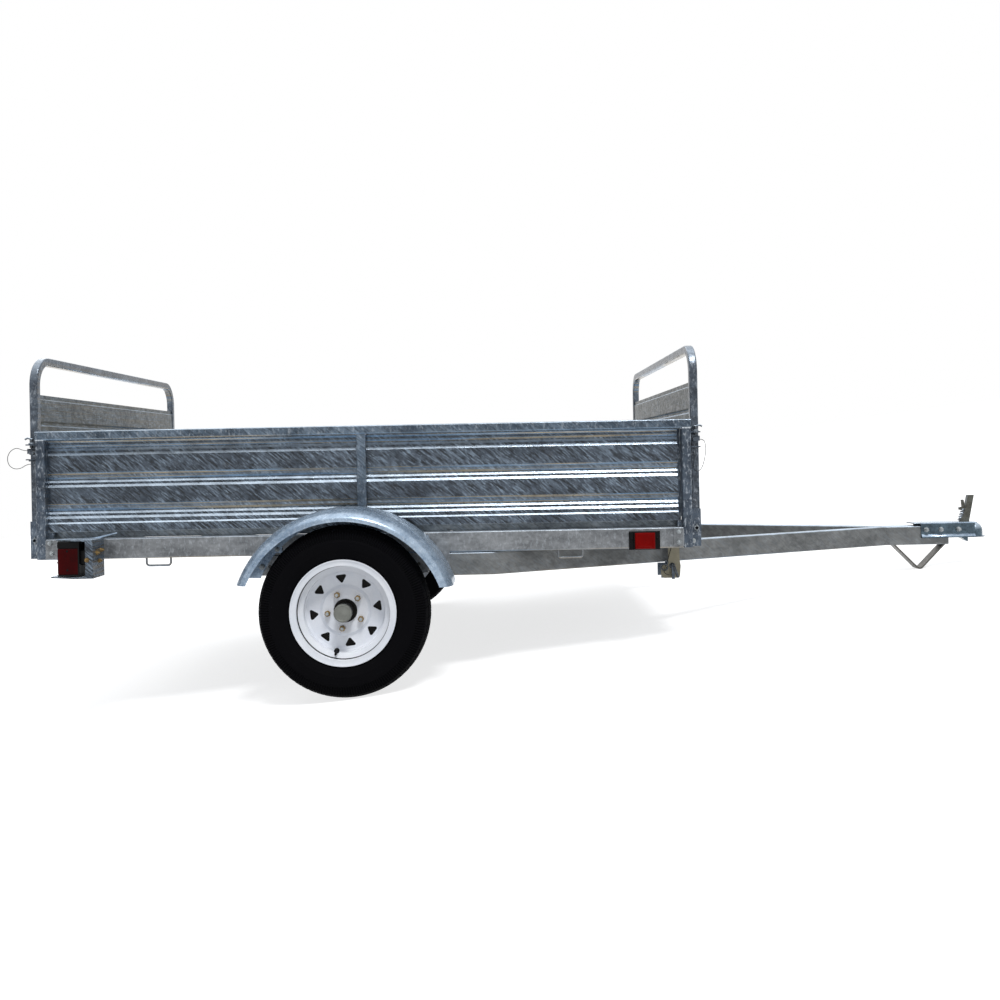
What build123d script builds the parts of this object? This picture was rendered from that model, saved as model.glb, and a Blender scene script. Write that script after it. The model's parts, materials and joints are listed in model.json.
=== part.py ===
"""Galvanised single-axle tilting utility trailer, parked on its wheels and the foot under its tongue.

Everything is drawn level, as behind a car: the axle is at X = 0, +X is forward, +Y is left, and
Z = 0 is the road under a loaded trailer, whose tyres are squashed.  The tyres here are round, as
with no load, and reach below that.  At the end each piece is turned about the axle until the foot
under the tongue meets the ground, and is moved so that the origin lies on the ground, midway
along and across the trailer.  Millimetres.
"""
from build123d import *
import os
from math import asin, atan2, cos, degrees, hypot, pi, radians, sin, sqrt, tan

# ---------------------------------------------------------------- driving dimensions
# Bed
BED_REAR, BED_FRONT = -1057, 1152      # outer faces of the corner posts
SIDE_FACE = 800                        # outer face of posts and top rails, from the centre line
SIDE_INNER = 759                       # inner face of posts and side rails
POST_WIDTH = 32                        # post and stake, along X
RAIL_FACE = 799                        # outer face of the side rail
RAIL_BOTTOM, FLOOR_LEVEL = 436, 505    # side rail, from below to its top
TOP_RAIL_BOTTOM, TOP_RAIL_SIZE = 839, 30
STAKE_X = 40                           # centre of the stake half-way along the side
STAKE_DEPTH = 22
TUBE_WALL, TUBE_CORNER = 3, 5          # wall and outer corner radius of the bed's tubes
CROSS_WIDTH, CROSS_DEPTH = 38, 50      # end and middle cross members
CROSS_XS = (-500, 40, 580)             # middle cross members

# Sheet metal
SHEET = 1.6
PANEL_FACE = 773                       # outer face of the flat zones of a side panel
PANEL_BOTTOM, PANEL_FOOT_STEP = 529, 558
# Section of a groove of the sides, from its upper edge down: height from its centre, depth
SIDE_GROOVE = ((25, 0), (18, 6), (9.5, 4), (2, 11), (-1.5, 11), (-9, 6), (-17, 5), (-25, 0))
SIDE_GROOVES = (597.5, 703.5, 811.5)   # heights of their centres
PANEL_END_GAP = 11                     # between the panels and the front corner post
FLOOR_HALF, FLOOR_FLANGE = 751, 777    # half width between the upturned edges, and over their flanges
RIB_PITCH, RIB_TOP, RIB_FOOT, RIB_HEIGHT = 150, 26, 40, 6

# Wheels and axle
AXLE_Z, TYRE_RADIUS, TYRE_WIDTH = 269, 277, 124
WHEEL_Y = 954                          # middle plane of the tyre
RIM_RADIUS, RIM_WIDTH, BEAD_RADIUS = 170, 108, 153
DISC_RADIUS = 131
STUD_CIRCLE, STUD_COUNT, STUD_HOLE = 114.3, 5, 12.5
FIRST_STUD = 44                        # degrees up from the front
WINDOW_COUNT, WINDOW_RADIUS, FIRST_WINDOW, WINDOW_CORNER = 8, 103, 7, 5
HUB_BORE, CAP_RADIUS = 38, 28
DRUM_RADIUS = 122                      # brake drum on the hub
SPINDLE, RUNNING_GAP = 15, 0.05        # radius, and what the hub's bore adds to it
AXLE_SIZE = 46
SPRING_Y, SPRING_WIDTH = 779, 40
SPRING_RADIUS, SPRING_REACH = 389, 250
SPRING_MIDDLE_X, EYE_Z = -22, 400
LEAF = 8
LEAF_ANGLES = (39, 28, 17)             # half the arc of each leaf, from the top one down
HANGER_PLATE = 5

# Mudguard: a band round the wheel, seen from the side as two arcs
GUARD_Z = 229
GUARD_RADIUS, GUARD_LIP = 370, 331
GUARD_INNER, GUARD_OUTER = 806, 1029
GUARD_SHOULDER, GUARD_SKIRT = 82, 335   # width of the round shoulder, radius where it ends
GUARD_END_Z, GUARD_END_TILT = 355, 1.4  # height of the cut ends under the axle, lower in front
GUARD_SHEET = 2.5

# Gates
GATE_TUBE, GATE_CORNER, GATE_WALL = 28, 105, 2.5
GATE_HALF, GATE_TOP = 760, 1129
GATE_GAP = 5                           # between a closed gate and the posts
GATE_PIVOT_Z, GATE_PIN = 500, 6        # pin radius
GATE_PANEL = (552, 997)
GATE_GROOVE = ((9, 0), (3, 7), (-3, 7), (-9, 0))    # section, as for the sides
GATE_GROOVES = (596, 697, 798, 899)
LUG, LUG_EAR = 5, 16                   # plates that carry the gate's pin, radius of the inner ones
LUG_Z = (438, 565)
LATCH_Z, LATCH_REACH = 800, 25
LANYARD_Y, LANYARD_LUG = 779, 13       # middle of the lug, and how far its face is from the gate's middle

# Tongue
BEAM_WIDTH, BEAM_BOTTOM, BEAM_TOP = 38, 358, 434
BEAM_REAR, PIVOT_X, PIVOT_Z = 274, 312, 396
BEND_REAR, BEND_FRONT, BEAM_FRONT = 475, 2077, 2335
COUPLER = (2222, 2450)                 # rear end of the channel, centre of the ball
COUPLER_WALL, COUPLER_TOP, COUPLER_BOTTOM = 4, 447, 386
COUPLER_FLANGE, COUPLER_LIP = 9, 46    # how far its foot stands out, radius of the foot in front
BALL, DOME_RADIUS, BALL_Z = 25.9, 38, 413
FOOT_X, FOOT_BOTTOM, FOOT_HALF = 2221, 257, 105
FOOT_WIDTH, FOOT_BAR, FOOT_BEND = 50, 6, 14
WIRE = 2                               # diameter of the lanyards

# Tilt latch, under the front cross member
LATCH_PLATES = ((428, 432), (515, 519))
LATCH_PLATE_X, LATCH_PLATE_BOTTOM = (1085, 1113, 1151), 302

# Lamps
TAIL_PLATE_X, TAIL_REACH = -832, 900
TAIL_PLATE_Z = (382, 508)
TAIL_LAMP_X, TAIL_LAMP_Y, TAIL_LAMP_Z = (-948, -874), (806, 890), (388, 504)
MARKER_X, MARKER_Z = 988, 463

GATE_X = {"rear": BED_REAR - GATE_GAP - GATE_TUBE / 2, "front": BED_FRONT + GATE_GAP + GATE_TUBE / 2}

pieces = {}


# ---------------------------------------------------------------- helpers
def slab(x, y, z, mode=Mode.ADD):
    """A block between the two values of each of x, y and z, in the part that is being built."""
    with Locations(((x[0] + x[1]) / 2, (y[0] + y[1]) / 2, (z[0] + z[1]) / 2)):
        Box(abs(x[1] - x[0]), abs(y[1] - y[0]), abs(z[1] - z[0]), mode=mode)


def tube_section(width, height, wall=TUBE_WALL):
    """The section of a rectangular tube with round corners, in the sketch that is being drawn."""
    RectangleRounded(width, height, TUBE_CORNER)
    inner_corner = max(TUBE_CORNER - wall, 1)
    RectangleRounded(width - 2 * wall, height - 2 * wall, inner_corner, mode=Mode.SUBTRACT)


def tube(x, y, z, along, wall=TUBE_WALL):
    """A rectangular tube, open at both ends, whose length runs along "x", "y" or "z"."""
    plane, start, stop, across, up = {
        "x": (Plane.YZ, *x, y, z),
        "y": (Plane.ZX, *y, z, x),
        "z": (Plane.XY, *z, x, y),
    }[along]
    with BuildSketch(plane.offset(start)) as section:
        with Locations(((across[0] + across[1]) / 2, (up[0] + up[1]) / 2)):
            tube_section(across[1] - across[0], up[1] - up[0], wall)
    extrude(section.sketch, amount=stop - start)


def bar(radius, x, y, z, mode=Mode.ADD):
    """A round bar along Y, between the two values of y."""
    with Locations(Location((x, (y[0] + y[1]) / 2, z), (90, 0, 0))):
        Cylinder(radius, abs(y[1] - y[0]), mode=mode)


def both_sides(piece, name):
    """Keep a piece drawn on the left, and its mirror image on the right."""
    pieces[f"{name}_left"] = piece.part
    pieces[f"{name}_right"] = mirror(piece.part, about=Plane.XZ)


def grooved(centres, groove, bottom, top):
    """Corner points (distance in, height) of a sheet with like grooves, from the bottom up."""
    points = list(bottom)
    for centre in centres:
        points += [(depth, centre + height) for height, depth in reversed(groove)]
    return points + list(top)


def thick(points, sheet=SHEET):
    """The closed outline of a sheet that follows the points and is thick on its inner side."""
    return points + [(depth + sheet, height) for depth, height in reversed(points)]


# ---------------------------------------------------------------- bed frame
REAR_INSIDE, FRONT_INSIDE = BED_REAR + POST_WIDTH, BED_FRONT - POST_WIDTH
HANGER_XS = (SPRING_MIDDLE_X - SPRING_REACH, SPRING_MIDDLE_X + SPRING_REACH)

with BuildPart() as side_rail:
    tube((REAR_INSIDE, FRONT_INSIDE), (SIDE_INNER, RAIL_FACE), (RAIL_BOTTOM, FLOOR_LEVEL), "x")
    # Gusset plates that bolt the rail to the corner posts
    for gusset_x in ((REAR_INSIDE, REAR_INSIDE + 42), (FRONT_INSIDE - 34, FRONT_INSIDE)):
        slab(gusset_x, (RAIL_FACE, RAIL_FACE + 3), (RAIL_BOTTOM + 4, FLOOR_LEVEL - 3))
    # Spring hangers: channels upside down under the rail, round the eyes of the spring
    for eye_x in HANGER_XS:
        hanger_x = (eye_x - 36, eye_x + 32)
        outside = SPRING_WIDTH / 2 + 1 + HANGER_PLATE
        slab(hanger_x, (SPRING_Y - outside, SPRING_Y + outside), (RAIL_BOTTOM - 6, RAIL_BOTTOM))
        for plate_y in (SPRING_Y - outside, SPRING_Y + outside - HANGER_PLATE):
            slab(hanger_x, (plate_y, plate_y + HANGER_PLATE), (370, RAIL_BOTTOM))
            bar(6.1, eye_x, (plate_y, plate_y + HANGER_PLATE), EYE_Z, mode=Mode.SUBTRACT)
    # Plates on both sides of the rail that carry the tilt bolt
    for plate_y in ((SIDE_INNER - 5, SIDE_INNER), (RAIL_FACE, RAIL_FACE + 5)):
        slab((PIVOT_X - 24, PIVOT_X + 20), plate_y, (PIVOT_Z - 24, FLOOR_LEVEL - 15))
        bar(8.1, PIVOT_X, plate_y, PIVOT_Z, mode=Mode.SUBTRACT)
    # Tie-down staples under the rail
    for staple_x in (-653, 740):
        half, drop, rod = 41, 30, 3.5
        with BuildLine(Plane.XZ.offset(-SPRING_Y)) as staple_line:
            FilletPolyline(
                (staple_x - half, RAIL_BOTTOM + 1),
                (staple_x - half, RAIL_BOTTOM - drop + rod),
                (staple_x + half, RAIL_BOTTOM - drop + rod),
                (staple_x + half, RAIL_BOTTOM + 1),
                radius=10,
            )
        with BuildSketch(Plane(origin=staple_line.line @ 0, z_dir=staple_line.line % 0)):
            Circle(rod)
        sweep(path=staple_line.line)
both_sides(side_rail, "side_rail")

with BuildPart() as corner_post:
    tube(
        (BED_REAR, REAR_INSIDE), (SIDE_INNER, SIDE_FACE), (RAIL_BOTTOM + 1, TOP_RAIL_BOTTOM), "z"
    )
    # Lug that carries the outer end of the gate's pin, with the pin welded in
    pivot_x = GATE_X["rear"]
    slab((pivot_x - 15, BED_REAR), (GATE_HALF + 1, GATE_HALF + 1 + LUG), LUG_Z)
    bar(GATE_PIN, pivot_x, (GATE_HALF - GATE_TUBE - 8, GATE_HALF + 12), GATE_PIVOT_Z)
    # Keeper plates of the gate latch
    for keeper_z in (LATCH_Z - 27, LATCH_Z + 23):
        slab((BED_REAR - 32, BED_REAR), (SIDE_FACE - 36, SIDE_FACE - 4), (keeper_z, keeper_z + 4))
both_sides(corner_post, "post_rear")
front_shift = Location((BED_REAR + BED_FRONT, 0, 0))
for side, opposite in (("left", "right"), ("right", "left")):
    # Half a turn takes each rear post to the front corner on the other side
    turned_post = pieces[f"post_rear_{opposite}"].rotate(Axis.Z, 180)
    pieces[f"post_front_{side}"] = turned_post.moved(front_shift)

with BuildPart() as rear_cross_member:
    tube(
        (BED_REAR, BED_REAR + CROSS_WIDTH),
        (-SIDE_INNER, SIDE_INNER),
        (RAIL_BOTTOM, FLOOR_LEVEL),
        "y",
    )
    # Ears that carry the inner ends of the pins, round so that the gate's bottom tube turns past
    for side in (-1, 1):
        lug_y = (side * (GATE_HALF - GATE_TUBE - 1), side * (GATE_HALF - GATE_TUBE - 1 - LUG))
        ear_z = (GATE_PIVOT_Z - LUG_EAR, GATE_PIVOT_Z + LUG_EAR)
        slab((GATE_X["rear"], BED_REAR), lug_y, ear_z)
        bar(LUG_EAR, GATE_X["rear"], lug_y, GATE_PIVOT_Z)
        bar(GATE_PIN + 0.2, GATE_X["rear"], lug_y, GATE_PIVOT_Z, mode=Mode.SUBTRACT)
pieces["cross_member_rear"] = rear_cross_member.part

front_tube = rear_cross_member.part.rotate(Axis.Z, 180).moved(front_shift)
with BuildPart() as front_cross_member:
    add(front_tube)
    # Plates that straddle each tongue beam, with the drawn pin of the tilt latch in the outer one
    for side in (-1, 1):
        for low, high in LATCH_PLATES:
            back, neck, front = LATCH_PLATE_X
            plate_y = (side * low, side * high)
            slab((neck, front), plate_y, (LATCH_PLATE_BOTTOM, RAIL_BOTTOM))
            slab((back, neck), plate_y, (LATCH_PLATE_BOTTOM, LATCH_PLATE_BOTTOM + 46))
        outer = LATCH_PLATES[1][1]
        bar(6, neck + 12, (side * (outer - 7), side * (outer + 26)), LATCH_PLATE_BOTTOM + 44)
        slab(
            (neck + 7, neck + 17),
            (side * (outer + 17), side * (outer + 26)),
            (LATCH_PLATE_BOTTOM - 2, LATCH_PLATE_BOTTOM + 44),
        )
pieces["cross_member_front"] = front_cross_member.part

for number, cross_x in enumerate(CROSS_XS, 1):
    with BuildPart() as cross_member:
        tube(
            (cross_x - CROSS_WIDTH / 2, cross_x + CROSS_WIDTH / 2),
            (-SIDE_INNER, SIDE_INNER),
            (FLOOR_LEVEL - CROSS_DEPTH, FLOOR_LEVEL),
            "y",
        )
    pieces[f"cross_member_{number}"] = cross_member.part

with BuildPart() as top_rail:
    top_rail_z = (TOP_RAIL_BOTTOM, TOP_RAIL_BOTTOM + TOP_RAIL_SIZE)
    tube((BED_REAR, BED_FRONT), (SIDE_FACE - TOP_RAIL_SIZE, SIDE_FACE), top_rail_z, "x")
    # The stake half-way along, welded under the rail
    tube(
        (STAKE_X - POST_WIDTH / 2, STAKE_X + POST_WIDTH / 2),
        (SIDE_FACE - STAKE_DEPTH, SIDE_FACE),
        (FLOOR_LEVEL, TOP_RAIL_BOTTOM),
        "z",
        wall=2.5,
    )
both_sides(top_rail, "top_rail")

# ---------------------------------------------------------------- sheet metal of the bed
side_section = thick(
    grooved(
        SIDE_GROOVES,
        SIDE_GROOVE,
        bottom=[(-4, PANEL_BOTTOM), (-4, PANEL_FOOT_STEP - 3), (0, PANEL_FOOT_STEP + 2)],
        top=[(0, TOP_RAIL_BOTTOM)],
    )
)
HALVES = {"rear": (REAR_INSIDE, STAKE_X - 0.5), "front": (STAKE_X + 0.5, FRONT_INSIDE)}
for end, (start_x, stop_x) in HALVES.items():
    panel_stop_x = min(stop_x, FRONT_INSIDE - PANEL_END_GAP)
    with BuildPart() as side_panel:
        with BuildSketch(Plane.YZ.offset(start_x)):
            with BuildLine():
                Polyline([(PANEL_FACE - depth, height) for depth, height in side_section], close=True)
            make_face()
        extrude(amount=panel_stop_x - start_x)
    both_sides(side_panel, f"side_panel_{end}")

    # Ribbed floor with upturned edges, whose flanges carry the side panels
    flange_z = (PANEL_BOTTOM - SHEET, PANEL_BOTTOM)
    floor_line = [(-FLOOR_FLANGE, flange_z[0]), (-FLOOR_HALF, flange_z[0]), (-FLOOR_HALF, FLOOR_LEVEL)]
    for rib_number in range(-4, 5):
        rib_y = rib_number * RIB_PITCH
        floor_line += [
            (rib_y - RIB_FOOT / 2, FLOOR_LEVEL),
            (rib_y - RIB_TOP / 2, FLOOR_LEVEL + RIB_HEIGHT),
            (rib_y + RIB_TOP / 2, FLOOR_LEVEL + RIB_HEIGHT),
            (rib_y + RIB_FOOT / 2, FLOOR_LEVEL),
        ]
    floor_line += [(FLOOR_HALF, FLOOR_LEVEL), (FLOOR_HALF, flange_z[0]), (FLOOR_FLANGE, flange_z[0])]
    inside_half = FLOOR_HALF - SHEET
    floor_inside = [(FLOOR_FLANGE, flange_z[1]), (inside_half, flange_z[1])]
    floor_inside += [(inside_half, FLOOR_LEVEL + SHEET)]
    floor_inside += [(y, z + SHEET) for y, z in reversed(floor_line[3:-3])]
    floor_inside += [(-inside_half, FLOOR_LEVEL + SHEET)]
    floor_inside += [(-inside_half, flange_z[1]), (-FLOOR_FLANGE, flange_z[1])]
    with BuildPart() as floor_panel:
        with BuildSketch(Plane.YZ.offset(start_x)):
            with BuildLine():
                Polyline(floor_line + floor_inside, close=True)
            make_face()
        extrude(amount=stop_x - start_x)
    pieces[f"floor_{end}"] = floor_panel.part

# ---------------------------------------------------------------- mudguards
def guard_edge(gap):
    """Draw one side of the band's section, gap inwards: inner lip, crown, shoulder, outer lip."""
    inner, outer, crown = GUARD_INNER + gap, GUARD_OUTER - gap, GUARD_Z + GUARD_RADIUS - gap
    skirt, lip, width = GUARD_Z + GUARD_SKIRT, GUARD_Z + GUARD_LIP, GUARD_SHOULDER - gap
    Polyline((inner, lip), (inner, crown), (outer - width, crown))
    EllipticalCenterArc((outer - width, skirt), width, crown - skirt, 0, arc_size=90)
    Line((outer, skirt), (outer, lip))


with BuildPart() as mudguard:
    with BuildSketch(Plane.YZ):
        with BuildLine():
            guard_edge(0)
            guard_edge(GUARD_SHEET)
            for lip_y, inwards in ((GUARD_INNER, GUARD_SHEET), (GUARD_OUTER, -GUARD_SHEET)):
                Line((lip_y, GUARD_Z + GUARD_LIP), (lip_y + inwards, GUARD_Z + GUARD_LIP))
        make_face()
    revolve(axis=Axis((0, 0, GUARD_Z), (0, 1, 0)))
    end_tilt = radians(GUARD_END_TILT)
    split(bisect_by=Plane((0, 0, GUARD_END_Z), z_dir=(sin(end_tilt), 0, cos(end_tilt))), keep=Keep.TOP)
    # Pads that bolt the band to the side rail
    for pad_x in (-1, 1):
        slab((pad_x * 230, pad_x * 262), (RAIL_FACE, GUARD_INNER + 1), (446, 494))
both_sides(mudguard, "mudguard")

# ---------------------------------------------------------------- lamps
with BuildPart() as tail_lamp_bracket:
    plate_x = (TAIL_PLATE_X - 2, TAIL_PLATE_X + 2)
    slab(plate_x, (RAIL_FACE, TAIL_REACH), TAIL_PLATE_Z)
    slab((TAIL_PLATE_X - 23, TAIL_PLATE_X + 2), (TAIL_REACH - 4, TAIL_REACH), TAIL_PLATE_Z)
    for gusset_z, rear_point in ((TAIL_PLATE_Z[0], -985), (TAIL_PLATE_Z[1] - 4, -965)):
        with BuildSketch(Plane.XY.offset(gusset_z)):
            with BuildLine():
                Polyline(
                    (TAIL_PLATE_X + 2, RAIL_FACE),
                    (TAIL_PLATE_X + 2, TAIL_REACH),
                    (TAIL_PLATE_X - 60, TAIL_REACH),
                    (rear_point, RAIL_FACE + 60),
                    (rear_point, RAIL_FACE),
                    close=True,
                )
            make_face()
        extrude(amount=4)
both_sides(tail_lamp_bracket, "tail_lamp_bracket")

with BuildPart() as tail_lamp:
    slab(TAIL_LAMP_X, TAIL_LAMP_Y, TAIL_LAMP_Z)
    fillet(tail_lamp.edges().filter_by(Axis.X), 6)
    # Base and studs that fasten the lamp to the plate
    slab((TAIL_LAMP_X[1], TAIL_PLATE_X - 2), (830, 880), (425, 475))
both_sides(tail_lamp, "tail_lamp")

with BuildPart() as marker_lamp:
    slab((MARKER_X - 52, MARKER_X + 52), (RAIL_FACE, RAIL_FACE + 12), (MARKER_Z - 31, MARKER_Z + 31))
    fillet(marker_lamp.edges().filter_by(Axis.Y), 4)
    slab((MARKER_X - 33.5, MARKER_X + 33.5), (RAIL_FACE, RAIL_FACE + 24), (MARKER_Z - 27, MARKER_Z + 27))
both_sides(marker_lamp, "marker_lamp")

# ---------------------------------------------------------------- springs and axle
with BuildPart() as leaf_spring:
    arc_z = EYE_Z + sqrt(SPRING_RADIUS**2 - SPRING_REACH**2)
    spring_plane = Plane((SPRING_MIDDLE_X, SPRING_Y + SPRING_WIDTH / 2, arc_z), (1, 0, 0), (0, -1, 0))
    for number, half_angle in enumerate(LEAF_ANGLES):
        inner_radius = SPRING_RADIUS - LEAF / 2 + number * LEAF
        with BuildSketch(spring_plane):
            with BuildLine():
                upper = CenterArc((0, 0), inner_radius, 270 - half_angle, 2 * half_angle)
                lower = CenterArc((0, 0), inner_radius + LEAF, 270 - half_angle, 2 * half_angle)
                Line(upper @ 0, lower @ 0)
                Line(upper @ 1, lower @ 1)
            make_face()
        extrude(amount=SPRING_WIDTH)
    for eye_x in HANGER_XS:
        spring_y = (SPRING_Y - SPRING_WIDTH / 2, SPRING_Y + SPRING_WIDTH / 2)
        bar(16, eye_x, spring_y, EYE_Z)
        # The eye's bolt goes through both hanger plates
        bar(6, eye_x, (SPRING_Y - 26.5, SPRING_Y + 26.5), EYE_Z)
both_sides(leaf_spring, "leaf_spring")

with BuildPart() as axle:
    axle_z = (AXLE_Z - AXLE_SIZE / 2, AXLE_Z + AXLE_SIZE / 2)
    axle_end = WHEEL_Y - 72
    tube((-AXLE_SIZE / 2, AXLE_SIZE / 2), (-axle_end, axle_end), axle_z, "y", wall=5)
    for side in (-1, 1):
        # Solid end of the tube, and the spindle that the hub turns on
        slab(
            (-AXLE_SIZE / 2, AXLE_SIZE / 2), (side * (axle_end - 60), side * axle_end), axle_z
        )
        bar(SPINDLE, 0, (side * (axle_end - 10), side * (WHEEL_Y + 20)), AXLE_Z)
    for side, spring_part in ((1, pieces["leaf_spring_left"]), (-1, pieces["leaf_spring_right"])):
        seat_y = (side * (SPRING_Y - 24), side * (SPRING_Y + 24))
        slab((-50, 40), seat_y, (axle_z[1] - 8, axle_z[1] + 8))
        add(spring_part, mode=Mode.SUBTRACT)
pieces["axle"] = axle.part

# ---------------------------------------------------------------- tilt bolts
with BuildPart() as tilt_bolt:
    bar(8, PIVOT_X, (SIDE_INNER - 8, RAIL_FACE + 5.5), PIVOT_Z)
both_sides(tilt_bolt, "tilt_bolt")

# ---------------------------------------------------------------- wheels
wheel_axis = Axis((0, 0, AXLE_Z), (0, 1, 0))


def in_wheel(points):
    """Points (outwards from the tyre's middle, radius) as points of the YZ plane."""
    return [(WHEEL_Y + outwards, AXLE_Z + radius) for outwards, radius in points]


with BuildPart() as tyre:
    # Half the section, from the bead over the sidewall to the tread; the air inside is left filled
    half_section = [(40, BEAD_RADIUS), (TYRE_WIDTH / 2, 215), (42, TYRE_RADIUS)]
    section = half_section + [(-outwards, radius) for outwards, radius in reversed(half_section)]
    with BuildSketch(Plane.YZ):
        with BuildLine():
            Polyline(in_wheel(section), close=True)
        make_face()
    revolve(axis=wheel_axis)
both_sides(tyre, "tyre")

with BuildPart() as rim:
    # One section: over the barrel on the tyre's side, back inside it, and round the disc
    barrel_outside = [
        (-54, RIM_RADIUS), (-49, RIM_RADIUS), (-48.3, BEAD_RADIUS - 0.2), (-30, BEAD_RADIUS - 0.2),
        (-20, 134), (20, 134), (30, BEAD_RADIUS - 0.2), (48.3, BEAD_RADIUS - 0.2),
        (49, RIM_RADIUS), (54, RIM_RADIUS),
    ]
    barrel_front = [(54, 166), (52, 166), (51.3, 149.8), (32, 149.8), (22, DISC_RADIUS)]
    disc_front = [(-8, DISC_RADIUS), (-12, 124), (-12, 84), (-6, 74), (-6, HUB_BORE)]
    disc_back = [(-10, HUB_BORE), (-10, 72), (-16, 82), (-16, 124), (-12, DISC_RADIUS)]
    barrel_back = [(-22, DISC_RADIUS), (-32, 149.8), (-51.3, 149.8), (-52, 166), (-54, 166)]
    with BuildSketch(Plane.YZ):
        with BuildLine():
            Polyline(
                in_wheel(barrel_outside + barrel_front + disc_front + disc_back + barrel_back),
                close=True,
            )
        make_face()
    revolve(axis=wheel_axis)
    disc_plane = Plane((0, WHEEL_Y, AXLE_Z), x_dir=(1, 0, 0), z_dir=(0, -1, 0))
    with BuildSketch(disc_plane):
        with PolarLocations(STUD_CIRCLE / 2, STUD_COUNT, start_angle=FIRST_STUD):
            Circle(STUD_HOLE / 2)
    with BuildSketch(disc_plane) as windows:
        with PolarLocations(WINDOW_RADIUS, WINDOW_COUNT, start_angle=FIRST_WINDOW):
            Polygon((13, -21), (13, 21), (-17, 0), align=None)
        fillet(windows.vertices(), WINDOW_CORNER)
    extrude(amount=30, mode=Mode.SUBTRACT)
both_sides(rim, "rim")

with BuildPart() as hub:
    # The hub and its brake drum, a cup open towards the axle behind the wheel's windows
    with BuildSketch(Plane.YZ):
        with BuildLine():
            Polyline(in_wheel([
                (-62, SPINDLE + RUNNING_GAP), (-62, 34), (-26, HUB_BORE - 0.5),
                (-26, DRUM_RADIUS - 7), (-62, DRUM_RADIUS - 7), (-62, DRUM_RADIUS), (-20, DRUM_RADIUS),
                (-20, 70), (-10.2, 70), (-10.2, HUB_BORE - 0.5), (-1, HUB_BORE - 0.5), (-1, CAP_RADIUS),
                (54, CAP_RADIUS), (58, CAP_RADIUS - 5), (58, 0), (22, 0),
                (22, SPINDLE + RUNNING_GAP),
            ]), close=True)
        make_face()
    revolve(axis=wheel_axis)
    for stud_number in range(STUD_COUNT):
        stud_angle = radians(FIRST_STUD + stud_number * 360 / STUD_COUNT)
        stud_x, stud_z = STUD_CIRCLE / 2 * cos(stud_angle), STUD_CIRCLE / 2 * sin(stud_angle)
        bar(6, stud_x, (WHEEL_Y - 20, WHEEL_Y + 10), AXLE_Z + stud_z)
both_sides(hub, "hub")

# ---------------------------------------------------------------- gates
leg_half = GATE_HALF - GATE_TUBE
latch_y = (GATE_HALF, GATE_HALF + LATCH_REACH)


for end, outwards in (("rear", -1), ("front", 1)):
    gate_x = GATE_X[end]
    with BuildPart() as gate_frame:
        # Bent tube: up one leg, over and down the other
        middle_y, middle_z = GATE_HALF - GATE_TUBE / 2, GATE_TOP - GATE_TUBE / 2
        with BuildLine(Plane.YZ.offset(gate_x)) as hoop_line:
            FilletPolyline(
                (-middle_y, GATE_PIVOT_Z), (-middle_y, middle_z),
                (middle_y, middle_z), (middle_y, GATE_PIVOT_Z),
                radius=GATE_CORNER - GATE_TUBE / 2,
            )
        with BuildSketch(Plane.XY.offset(GATE_PIVOT_Z)):
            with Locations((gate_x, -middle_y)):
                tube_section(GATE_TUBE, GATE_TUBE, GATE_WALL)
        sweep(path=hoop_line.line)
        # Bottom tube between the legs
        tube(
            (gate_x - GATE_TUBE / 2, gate_x + GATE_TUBE / 2),
            (-leg_half, leg_half),
            (GATE_PANEL[0] - GATE_TUBE, GATE_PANEL[0]),
            "y",
            wall=GATE_WALL,
        )
        for side in (-1, 1):
            # Round foot of the leg, bored for the pin
            leg_y = (side * leg_half, side * GATE_HALF)
            bar(GATE_TUBE / 2, gate_x, leg_y, GATE_PIVOT_Z)
            bar(GATE_PIN + RUNNING_GAP, gate_x, leg_y, GATE_PIVOT_Z, mode=Mode.SUBTRACT)
            # Sleeve of the latch, between the keeper plates of the post, and the lanyard's lug
            bar(9, gate_x, (side * latch_y[0], side * latch_y[1]), LATCH_Z)
            slab(
                (gate_x + outwards * 6, gate_x + outwards * LANYARD_LUG),
                (side * (LANYARD_Y - 6), side * (LANYARD_Y + 5)),
                (LATCH_Z - 5, LATCH_Z + 12),
            )
    pieces[f"gate_frame_{end}"] = gate_frame.part

    gate_section = thick(
        grooved(
            GATE_GROOVES,
            GATE_GROOVE,
            bottom=[(0, GATE_PANEL[0])],
            top=[(0, GATE_PANEL[1] - 17), (3, GATE_PANEL[1] - 14), (3, GATE_PANEL[1])],
        )
    )
    panel_face = gate_x - outwards * 10
    with BuildPart() as gate_panel:
        with BuildSketch(Plane.XZ):
            with BuildLine():
                Polyline([(panel_face + outwards * depth, z) for depth, z in gate_section], close=True)
            make_face()
        extrude(amount=leg_half, both=True)
    pieces[f"gate_panel_{end}"] = gate_panel.part

# ---------------------------------------------------------------- tongue
BEAM_Y = (SIDE_INNER + RAIL_FACE) / 2          # centre of the straight rear part
FRONT_Y = BEAM_WIDTH / 2
converge = atan2(BEAM_Y - FRONT_Y, BEND_FRONT - BEND_REAR)


def beam_edges(half_width):
    """Corners of a band round the beam's centre line, seen from above."""
    mitre = half_width * tan(converge / 2)
    outer = [
        (BEAM_REAR, BEAM_Y + half_width), (BEND_REAR + mitre, BEAM_Y + half_width),
        (BEND_FRONT + mitre, FRONT_Y + half_width), (BEAM_FRONT, FRONT_Y + half_width),
    ]
    inner = [
        (BEAM_FRONT, FRONT_Y - half_width), (BEND_FRONT - mitre, FRONT_Y - half_width),
        (BEND_REAR - mitre, BEAM_Y - half_width), (BEAM_REAR, BEAM_Y - half_width),
    ]
    return outer + inner


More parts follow.
